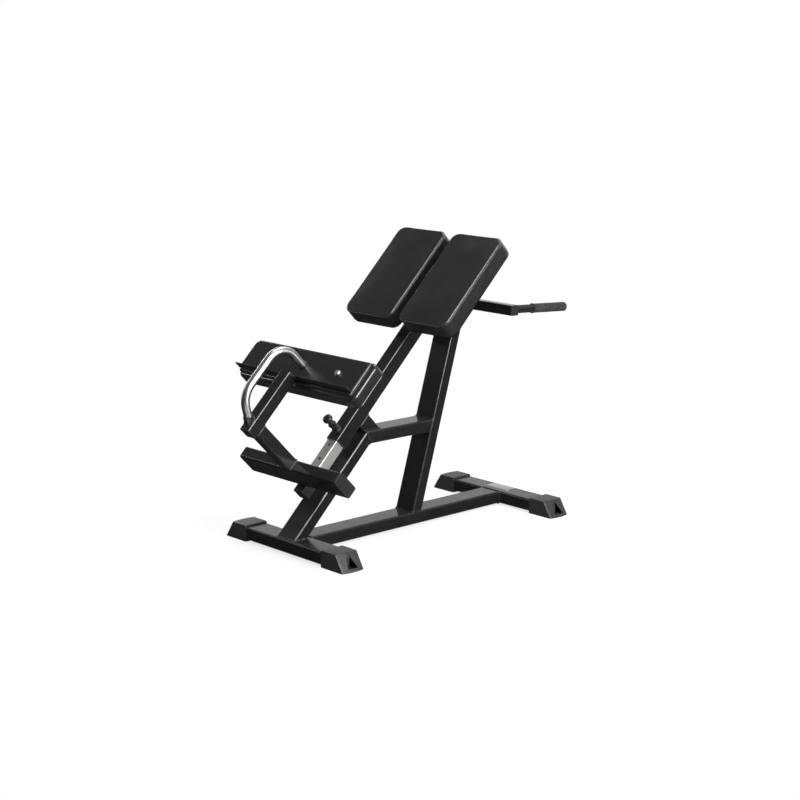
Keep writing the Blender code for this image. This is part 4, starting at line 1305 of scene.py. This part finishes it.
@dataclass
class CalfPad:
    """The calf pad: its swollen cushion with its stitched seam, and its wrapped board."""

    finishes: Finishes
    front: float = 0.3786
    board_middle: float = 0.3869
    width: float = 0.650
    height: float = 0.173
    thickness: float = 0.059
    corner: float = 0.022
    back_rounding: float = 0.0095
    board: Size = (0.620, 0.148, 0.016)
    board_rounding: float = 0.005

    def build(self) -> None:
        """Make the cushion and the board."""
        cushion = Cushion("calf_pad_cushion", self.width, self.height, self.thickness, self.corner,
                          self.back_rounding, held_height=0.0045)
        body = cushion.build()
        stitches = cushion.stitches(body)
        stitches.name = "calf_pad_stitches"
        place = axes(on_slope(CALF_PAD_MIDDLE, self.front), -ACROSS, UP_SLOPE)
        bake_place(body, place)
        bake_place(stitches, place)
        settle(body, Body.CARRIAGE, self.finishes.vinyl, "calf_cushion")
        settle(stitches, Body.CARRIAGE, self.finishes.thread)
        self.make_board()

    def make_board(self) -> None:
        """Make the vinyl-wrapped board with its rounded edges."""
        board = add_cube("calf_pad_board", self.board)
        with edit_mode(board):
            pick(board, Element.EDGE)
            bevel(self.board_rounding, 4)
        recalculate(board)
        smooth(board, 60.0)
        bake_place(board, slope_place(CALF_PAD_MIDDLE, self.board_middle))
        settle(board, Body.CARRIAGE, self.finishes.vinyl, "calf_board")


@dataclass
class LoopHandle:
    """The polished bent handle, spun round its two bends."""

    finishes: Finishes
    radius: float = 0.016
    bend: float = 0.084
    foot: tuple[float, float] = (0.2115, 0.4512)
    level: float = 0.5412
    leg_angle: float = math.radians(61.3)
    sides: int = 40
    sunk: float = 0.004
    unroll_step: float = 0.004
    low_steps: int = 14
    high_steps: int = 22
    line_steps: int = 40

    def build(self) -> None:
        """Make the handle in its own plane, X across, Y for s and Z for n."""
        leg = Vector((0.0, math.cos(self.leg_angle), math.sin(self.leg_angle)))
        reach, low_s = self.leg_run()
        high_s, arc_n = CALF_PAD_MIDDLE - self.bend, self.level - self.bend
        deselect_all()
        bpy.ops.mesh.primitive_circle_add(vertices=self.sides, radius=self.radius)
        handle = bpy.context.object
        handle.name = "bent_handle"
        start = Vector((0.0, *self.foot)) + leg * self.sunk
        bake_place(handle, axes(start, ACROSS, leg.cross(ACROSS)))
        with edit_mode(handle):
            pick(handle, Element.EDGE)
            extrude(leg * (reach - self.sunk))
            self.spin_bend(low_s, self.leg_angle, self.low_steps)
            extrude((0.0, high_s - low_s, 0.0))
            self.spin_bend(high_s, math.pi / 2, self.high_steps)
            extrude((0.0, 0.0, BRACKET_FACE - arc_n))
            pick(handle, Element.EDGE, lambda edge: edge.is_boundary)
            bpy.ops.mesh.fill_holes(sides=0)
        recalculate(handle)
        self.unroll(handle)
        smooth(handle, 50.0)
        bake_place(handle, slope_place(0.0, 0.0))
        settle(handle, Body.CARRIAGE, self.finishes.polished, "loop_handle")

    def spin_bend(self, middle_s: float, angle: float, steps: int) -> None:
        """Spin the selected ring round a bend that is centred at a place on the slope, towards the top."""
        centre = (0.0, middle_s, self.level - self.bend)
        bpy.ops.mesh.spin(steps=steps, angle=angle, center=centre, axis=ACROSS)

    def leg_run(self) -> tuple[float, float]:
        """Work out the straight leg from the handle's level, bend and foot.

        Returns:
            How long the leg is, and how far up the slope the first bend's middle lies.
        """
        rise = self.level - self.bend * (1.0 - math.cos(self.leg_angle)) - self.foot[1]
        reach = rise / math.sin(self.leg_angle)
        return reach, self.foot[0] + reach * math.cos(self.leg_angle) + self.bend * math.sin(self.leg_angle)

    def middle_line(self) -> list[Vector]:
        """Lay evenly spaced points along the middle of the tube.

        Returns:
            The points, from the foot to the top's end.
        """
        line = [Vector((0.0, *self.foot))]
        for middle_s, first, last in ((self.leg_run()[1], -self.leg_angle, 0.0),
                                      (CALF_PAD_MIDDLE - self.bend, 0.0, math.pi / 2)):
            for step in range(self.line_steps + 1):
                turn = first + (last - first) * step / self.line_steps
                line.append(Vector((0.0, middle_s + self.bend * math.sin(turn),
                                    self.level - self.bend + self.bend * math.cos(turn))))
        line.append(Vector((0.0, CALF_PAD_MIDDLE, BRACKET_FACE)))
        return even_points(line, self.unroll_step)

    def unroll(self, handle: Piece) -> None:
        """Give the handle a flat map of its surface: how far along the tube, and how far round it.

        Args:
            handle: the handle, still in its own plane.
        """
        line = self.middle_line()
        runs: list[float] = []
        turns: list[float] = []
        for vert in handle.data.vertices:
            index = min(range(len(line)), key=lambda number: (line[number] - vert.co).length_squared)
            ahead = line[min(index + 1, len(line) - 1)] - line[max(index - 1, 0)]
            out = vert.co - line[index]
            runs.append(index * self.unroll_step + out.dot(ahead.normalized()))
            turns.append(math.atan2(out.x, out.dot(ACROSS.cross(ahead).normalized())) / math.tau)
        layer = handle.data.uv_layers.new(name=TUBE_MAP)
        for face in handle.data.polygons:
            first = turns[face.vertices[0]]
            for loop in face.loop_indices:
                index = handle.data.loops[loop].vertex_index
                layer.data[loop].uv = (runs[index], turns[index] - round(turns[index] - first))


@dataclass
class SpringPin:
    """The spring pin's knob, barrel and nut, turned finer than the solids."""

    finishes: Finishes
    place_s: float = 0.447
    seat: float = 0.0853
    knob: tuple[tuple[float, float], ...] = (
        (0.0048, 0.0412), (0.0122, 0.0412), (0.0130, 0.0420), (0.0130, 0.0440), (0.0118, 0.0490),
        (0.0112, 0.0545), (0.0114, 0.0585), (0.0126, 0.0604), (0.0155, 0.0618),
        (0.0180, 0.0640), (0.0190, 0.0672), (0.0190, 0.0716), (0.0183, 0.0756), (0.0164, 0.0790),
        (0.0130, 0.0812), (0.0080, 0.0822), (0.0020, 0.0823))
    barrel: tuple[tuple[float, float], ...] = (
        (0.0052, 0.0400), (0.0150, 0.0400), (0.0162, 0.0388), (0.0162, 0.0352), (0.0150, 0.0340),
        (0.0133, 0.0336), (0.0133, 0.0250), (0.0124, 0.0240), (0.0124, 0.0215), (0.0133, 0.0205),
        (0.0133, 0.0003), (0.0052, 0.0003))

    def build(self) -> None:
        """Make the knob and the barrel."""
        place = slope_place(self.place_s, self.seat)
        for name, profile, body, node, material in (
                ("pin_knob", self.knob, Body.PIN, "pull_knob", self.finishes.knob),
                ("pin_housing", self.barrel, Body.FRAME, "pin_barrel", self.finishes.powder)):
            piece = turned(name, profile)
            smooth(piece, 40.0)
            bake_place(piece, place)
            settle(piece, body, material, node)


@dataclass
class Bolts:
    """Plated hexagon bolts with washers: two through the calf bracket and eight under the hip pads."""

    finishes: Finishes
    across_flats: float = 0.017
    head: float = 0.0065
    washer_radius: float = 0.0115
    washer: float = 0.0018
    hole: float = 0.004
    edge: float = 0.0004
    top_edge: float = 0.0006
    head_rounding: float = 0.0009
    dish: tuple[float, float] = (0.0012, -0.0003)
    calf_x: float = 0.194
    channel_n: float = 0.0851
    pad_x: tuple[float, ...] = (-0.210, -0.095, 0.095, 0.210)

    def build(self) -> None:
        """Make one bolt and copy it to every place."""
        bolt = self.make_bolt()
        rows = [(f"calf_pad_bolt_{hand.word}", Body.CARRIAGE, f"calf_bolt_{hand.word}",
                 slope_place(CALF_PAD_MIDDLE, BRACKET_FACE, hand.value * self.calf_x)) for hand in Hand]
        rows += [(f"hip_pad_bolt_{row}_{number}", Body.FRAME, "",
                  axes(on_slope(place_s, self.channel_n, x), ACROSS, -UP_SLOPE))
                 for row, place_s in enumerate(CHANNEL_MIDDLES, 1) for number, x in enumerate(self.pad_x, 1)]
        for name, body, stands_for, place in rows:
            piece = copy_of(bolt, name)
            bake_place(piece, place)
            settle(piece, body, self.finishes.zinc, stands_for)
        bpy.data.objects.remove(bolt)

    def make_bolt(self) -> Piece:
        """Make one bolt head on its washer.

        Returns:
            The bolt, standing on z = 0.
        """
        rim, thick = self.washer_radius, self.washer
        washer = turned("bolt", ((self.hole, 0.0), (rim - self.edge, 0.0), (rim, self.edge),
                                 (rim, thick - self.edge), (rim - self.top_edge, thick),
                                 (self.hole, thick)), 32)
        deselect_all()
        corner = self.across_flats / 2 / math.cos(math.pi / 6)
        bpy.ops.mesh.primitive_cylinder_add(vertices=6, radius=corner, depth=self.head,
                                            location=UP * (thick + self.head / 2))
        head = bpy.context.object
        apply_place()
        top = thick + self.head
        with edit_mode(head):
            pick(head, Element.EDGE, lambda edge: min(vert.co.z for vert in edge.verts) > top - 0.0001)
            bevel(self.head_rounding, 2)
            pick(head, Element.FACE, lambda face: face.normal.z > 0.99)
            bpy.ops.mesh.inset(thickness=self.dish[0], depth=self.dish[1])
        activate(washer, head)
        bpy.ops.object.join()
        smooth(washer, 30.0)
        return washer


@dataclass(frozen=True)
class Joint:
    """A joint whose bead runs round a rectangle with round corners.

    The rectangle's width lies across the bench, or from front to back where it is sideways, and its length
    lies along the direction given.
    """

    name: str
    centre: Vector
    along: Vector
    half_width: float
    half_length: float
    corner: float
    body: Body = Body.FRAME
    is_sideways: bool = False

    def path(self, step: float) -> list[Vector]:
        """Lay the bead's middle line.

        Args:
            step: the distance from point to point.

        Returns:
            Its points.
        """
        place = axes(self.centre, BACKWARD if self.is_sideways else ACROSS, self.along)
        loop = rounded_loop(self.half_width, self.half_length, self.corner, step)
        return [place @ point for point in loop]


@dataclass
class Welds:
    """The weld beads at the frame's and the carriage's joints, painted over with the powder coat."""

    finishes: Finishes
    radius: float = 0.0034
    pitch: float = 0.0042
    ripple: float = 0.16
    ripple_points: int = 3
    wander: float = 0.37

    def build(self) -> None:
        """Lay every bead, one piece for each joint."""
        step = self.pitch / self.ripple_points
        for joint in (*self.frame_joints(), *self.carriage_joints(), *self.grip_joints()):
            self.lay(joint.name, joint.body, joint.path(step), True)
        for name, body, line in self.lines():
            self.lay(name, body, even_points(line, step), False)

    def frame_joints(self) -> tuple[Joint, ...]:
        """List the joints of the frame's tubes.

        Returns:
            The joints, from the floor up.
        """
        mitre = Vector((0.0, -math.sin(INCLINE / 2), math.cos(INCLINE / 2)))
        lean = math.radians(15.7)
        post_up = Vector((0.0, math.sin(lean), math.cos(lean)))
        half, flat = 0.050, 0.025
        return (
            Joint("base_front", on_base(0.1032, 0.032), UP, half, flat, 0.008),
            Joint("base_rear", on_base(1.1323, 0.032), UP, half, flat, 0.008),
            Joint("front_post_foot", on_base(0.0494, 0.0572), BACKWARD, half, 0.0354, 0.010),
            Joint("rear_post_foot", on_base(0.6550, 0.0572), BACKWARD, half, 0.0260, 0.008),
            Joint("elbow", on_base(0.37602, 0.419) - mitre * 0.02706, mitre, half, 0.0271, 0.008),
            Joint("brace_rear", on_base(0.7236, 0.394), post_up, half, 0.0260, 0.008),
            Joint("rear_post_head", on_slope(1.3052, 0.0247), UP_SLOPE, 0.030, 0.0507, 0.003),
            Joint("stub_foot", on_base(0.42133, 0.4193), BACKWARD, 0.030, 0.0424, 0.006),
            Joint("stub_head", on_slope(0.544, 0.0247), UP_SLOPE, 0.030, 0.030, 0.005),
        )

    def carriage_joints(self) -> tuple[Joint, ...]:
        """List the joints of the carriage's arm and handle.

        Returns:
            The joints.
        """
        return (
            Joint("arm_foot", on_slope(0.212, 0.1869), UP_SLOPE, 0.025, 0.025, 0.005, Body.CARRIAGE),
            Joint("arm_head", on_slope(0.212, 0.4010), UP_SLOPE, 0.025, 0.025, 0.005, Body.CARRIAGE),
            Joint("handle_top", on_slope(CALF_PAD_MIDDLE, 0.3996), UP_SLOPE, 0.0165, 0.0165, 0.0164,
                  Body.CARRIAGE),
            Joint("collar_foot", on_slope(0.2115, 0.4515), UP_SLOPE, 0.0197, 0.0224, 0.0196, Body.CARRIAGE),
        )

    def grip_joints(self) -> list[Joint]:
        """List the joints of the side stays and of the grips' tubes.

        Returns:
            Two joints on each side.
        """
        joints: list[Joint] = []
        for hand in Hand:
            stay = on_base(0.88345, 0.870, hand.value * 0.0501)
            grip = on_base(0.90365, 0.870, hand.value * 0.302)
            joints += [Joint(f"stay_{hand.word}", stay, UP, 0.020, 0.020, 0.005, is_sideways=True),
                       Joint(f"grip_root_{hand.word}", grip, UP, 0.0162, 0.0162, 0.0161)]
        return joints

    def lines(self) -> list[tuple[str, Body, list[Vector]]]:
        """List the beads that don't close on themselves.

        Returns:
            Each bead's name, body and corners.
        """
        lines: list[tuple[str, Body, list[Vector]]] = []
        for number, middle in enumerate(CHANNEL_MIDDLES, 1):
            for word, offset in (("low", -0.0253), ("high", 0.0253)):
                ends = [on_slope(middle + offset, 0.0853, x) for x in (-0.027, 0.027)]
                lines.append((f"channel_{number}_{word}", Body.FRAME, ends))
        for hand in Hand:
            ends = [on_slope(s, 0.0836, hand.value * 0.0222) for s in (0.1955, 0.2285)]
            lines.append((f"plate_pad_{hand.word}", Body.CARRIAGE, ends))
        corners = ((0.403, -0.0250), (0.4262, -0.0250), (0.4262, 0.0250), (0.403, 0.0250))
        lines.append(("bracket_foot", Body.CARRIAGE, [on_slope(0.4469, n, x) for n, x in corners]))
        return lines

    def lay(self, name: str, body: Body, points: Sequence[Vector], closed: bool) -> None:
        """Lay one rippled bead.

        Args:
            name: the joint's name.
            body: the body that the joint moves with.
            points: the bead's middle line.
            closed: whether the bead goes all the way round.
        """
        radii = [self.radius * (1.0 - self.ripple * (index % self.ripple_points == 0)
                                + self.ripple * 0.5 * math.sin(index * self.wander))
                 for index in range(len(points))]
        bead = sweep("weld_" + name, points, radii, closed)
        smooth(bead, 75.0)
        settle(bead, body, self.finishes.powder)


@dataclass
class BarePlate:
    """The bare silver plate on the rear cross tube."""

    finishes: Finishes
    middle: float = 1.1926
    size: Size = (0.120, 0.055, 0.0008)
    tube_top: float = 0.0571
    corner: float = 0.004
    rim: float = 0.0002

    def build(self) -> None:
        """Make the plate with round corners and a soft rim."""
        thickness = self.size[2]
        plate = add_cube("bare_plate", self.size, on_base(self.middle, self.tube_top + thickness / 2))
        with edit_mode(plate):
            pick(plate, Element.EDGE, lambda edge: rises(edge) > thickness / 2)
            bevel(self.corner, 5)
            pick(plate, Element.FACE, lambda face: face.normal.z > 0.9)
            bevel(self.rim, 2)
        smooth(plate, 35.0)
        settle(plate, Body.FRAME, self.finishes.plate)


@dataclass(frozen=True)
class Softbox:
    """A soft rectangular lamp, aimed at a height of the bench from a direction given in degrees."""

    name: str
    azimuth: float
    elevation: float
    width: float
    height: float
    power: float
    tilt: float = 0.0
    distance: float = 4.0
    aim: float = 0.55

    def build(self) -> None:
        """Hang the lamp and turn it to the bench."""
        source = direction(self.azimuth, self.elevation)
        data = bpy.data.lights.new(self.name, "AREA")
        configure(data, shape="RECTANGLE", size=self.width, size_y=self.height, energy=self.power)
        lamp = add_object(self.name, data)
        turn = source.to_track_quat("Z", "Y") @ Quaternion(UP, math.radians(self.tilt))
        configure(lamp, location=UP * self.aim + source * self.distance, rotation_mode="QUATERNION",
                  rotation_quaternion=turn)


def direction(azimuth: float, elevation: float) -> Vector:
    """Return the direction from the bench towards an azimuth and elevation in degrees."""
    turn, rise = math.radians(azimuth), math.radians(elevation)
    return Vector((math.sin(turn) * math.cos(rise), -math.cos(turn) * math.cos(rise), math.sin(rise)))


@dataclass(frozen=True)
class Studio:
    """Plain soft studio: pale floor, white background, softboxes and the photograph's camera."""

    camera_place: Size = (-3.91284, 1.84070, 4.62214)
    azimuth: float = 45.71
    elevation: float = 11.68
    roll: float = 1.03
    lens: float = 76.33
    floor_half: float = 30.0
    floor_share: float = 0.70
    fill: float = 0.40
    room: float = 0.03
    ceiling: float = 0.09
    # Where and how wide the glowing patch lies that mirrors alone see, a painted reflection for the polished
    # handle.
    glow_patch: Size = (0.80, -1.30, 0.0)
    glow_patch_radius: float = 0.55
    backdrop: float = 226.0
    wall_facing: tuple[float, float] = (0.15, 0.65)
    wall_height: tuple[float, float] = (0.0, 0.6)
    ceiling_height: tuple[float, float] = (0.20, 0.55)
    mirrored_floor: tuple[float, float] = (1.6, 4.0)
    lit_floor: tuple[float, float] = (0.9, 2.6)
    lamps: tuple[Softbox, ...] = (
        Softbox("strip_lamp", 84.0, 30.0, 1.4, 4.4, 235.0, tilt=45.0),
        Softbox("low_lamp", 92.0, 4.0, 2.2, 0.5, 60.0),
        Softbox("front_lamp", -52.0, 25.0, 0.16, 1.2, 6.0),
        Softbox("rim_lamp", -106.0, 13.0, 0.9, 1.8, 36.0),
        Softbox("overhead_lamp", 200.0, 70.0, 3.0, 3.0, 110.0))

    def build(self) -> None:
        """Make the camera, the floor, the world and the lamps."""
        self.make_camera()
        self.make_world()
        self.make_floor()
        for lamp in self.lamps:
            lamp.build()
        bpy.context.scene.view_settings.view_transform = "Standard"

    def make_camera(self) -> None:
        """Make the camera of the photograph."""
        back = direction(self.azimuth, self.elevation)
        turn, roll = math.radians(self.azimuth), math.radians(self.roll)
        right = Vector((math.cos(turn), math.sin(turn), 0.0))
        up = back.cross(right)
        x_axis = right * math.cos(roll) + up * math.sin(roll)
        y_axis = up * math.cos(roll) - right * math.sin(roll)
        data = bpy.data.cameras.new("photo_camera")
        configure(data, sensor_width=36.0, lens=self.lens, clip_end=200.0)
        camera = add_object("photo_camera", data)
        camera.matrix_world = Matrix((x_axis, y_axis, back)).transposed().to_4x4()
        camera.location = on_base(*self.camera_place)
        bpy.context.scene.camera = camera

    def seen_share(self, sheet: NodeSheet) -> tuple[Socket, Socket]:
        """Tell the rays that see a surface from those that light it.

        Args:
            sheet: the sheet that needs to know.

        Returns:
            Whether a ray is the camera's own, and whether it is a mirrored or passed one.
        """
        path = sheet.add("LightPath")
        bounced = sheet.math("MAXIMUM", path.outputs["Is Glossy Ray"], path.outputs["Is Transmission Ray"])
        return path.outputs["Is Camera Ray"], bounced

    def make_world(self) -> None:
        """Make a white backdrop, a dimmer room on the other side for reflections, and a soft fill."""
        world = bpy.data.worlds.new("studio")
        bpy.context.scene.world = world
        sheet = NodeSheet(world)
        behind = direction(self.backdrop, 0.0)
        coordinate = sheet.add("TexCoord").outputs["Generated"]
        facing = sheet.measure("DOT_PRODUCT", coordinate, behind)
        height = sheet.add("SeparateXYZ", {0: coordinate}).outputs["Z"]
        wall = sheet.math("MULTIPLY", sheet.spread(facing, 0.0, 1.0, *self.wall_facing),
                          sheet.spread(height, 1.0, 0.0, *self.wall_height))
        dark = sheet.spread(height, self.room, self.ceiling, *self.ceiling_height)
        room = sheet.math("MAXIMUM", dark, wall)
        camera_ray, bounced = self.seen_share(sheet)
        seen = sheet.blend(camera_ray, room, grey(1.0))
        sheet.output_mix(sheet.math("MAXIMUM", camera_ray, bounced),
                         sheet.add("Background", {"Color": grey(1.0), "Strength": self.fill}),
                         sheet.add("Background", {"Color": seen, "Strength": 1.0}))

    def make_floor(self) -> None:
        """Make the pale floor, which keeps the bench's shadow and is dark in mirrors before the bench, with
        a glowing patch that mirrors alone see, a painted reflection of a lit stretch of floor.
        """
        deselect_all()
        bpy.ops.mesh.primitive_plane_add(size=2 * self.floor_half)
        floor = bpy.context.object
        floor.name = "floor"
        sheet = NodeSheet.named("floor_paint")
        tone = sheet.blend(sheet.noise(0.6, 2.0), grey(0.90), grey(0.92))
        floor.data.materials.append(sheet.surface(Base_Color=tone, Roughness=0.9, Specular_IOR_Level=0.1))
        facing = sheet.measure("DOT_PRODUCT", sheet.place, direction(self.backdrop, 0.0))
        # A glowing patch on the floor, seen in mirrors alone: a painted reflection of lit floor for the
        # polished handle.
        off_glow_patch = sheet.measure("DISTANCE", sheet.place, self.glow_patch)
        glow_patch = sheet.spread(off_glow_patch, 1.0, 0.0, self.glow_patch_radius * 0.7, self.glow_patch_radius * 1.3)
        wall = sheet.spread(facing, self.room, 1.0, *self.mirrored_floor)
        mirrored = sheet.math("MAXIMUM", wall, glow_patch)
        camera_ray, bounced = self.seen_share(sheet)
        away = sheet.spread(sheet.measure("LENGTH", sheet.place), self.floor_share, 1.0, *self.lit_floor)
        share = sheet.math("ADD", sheet.math("MULTIPLY", camera_ray, away), bounced)
        sheet.output_mix(share, sheet.shader,
                         sheet.add("Emission", {"Color": sheet.blend(camera_ray, mirrored, grey(1.0))}))


def main() -> None:
    """Build the studio and every piece of the bench in order."""
    logging.basicConfig(level=logging.INFO, format="%(message)s")
    Studio().build()
    finishes = Finishes()
    for maker in (SolidFrame, HipPads, CalfPad, LoopHandle, SpringPin, Bolts, Welds, BarePlate):
        maker(finishes).build()


if __name__ == "__main__":
    main()
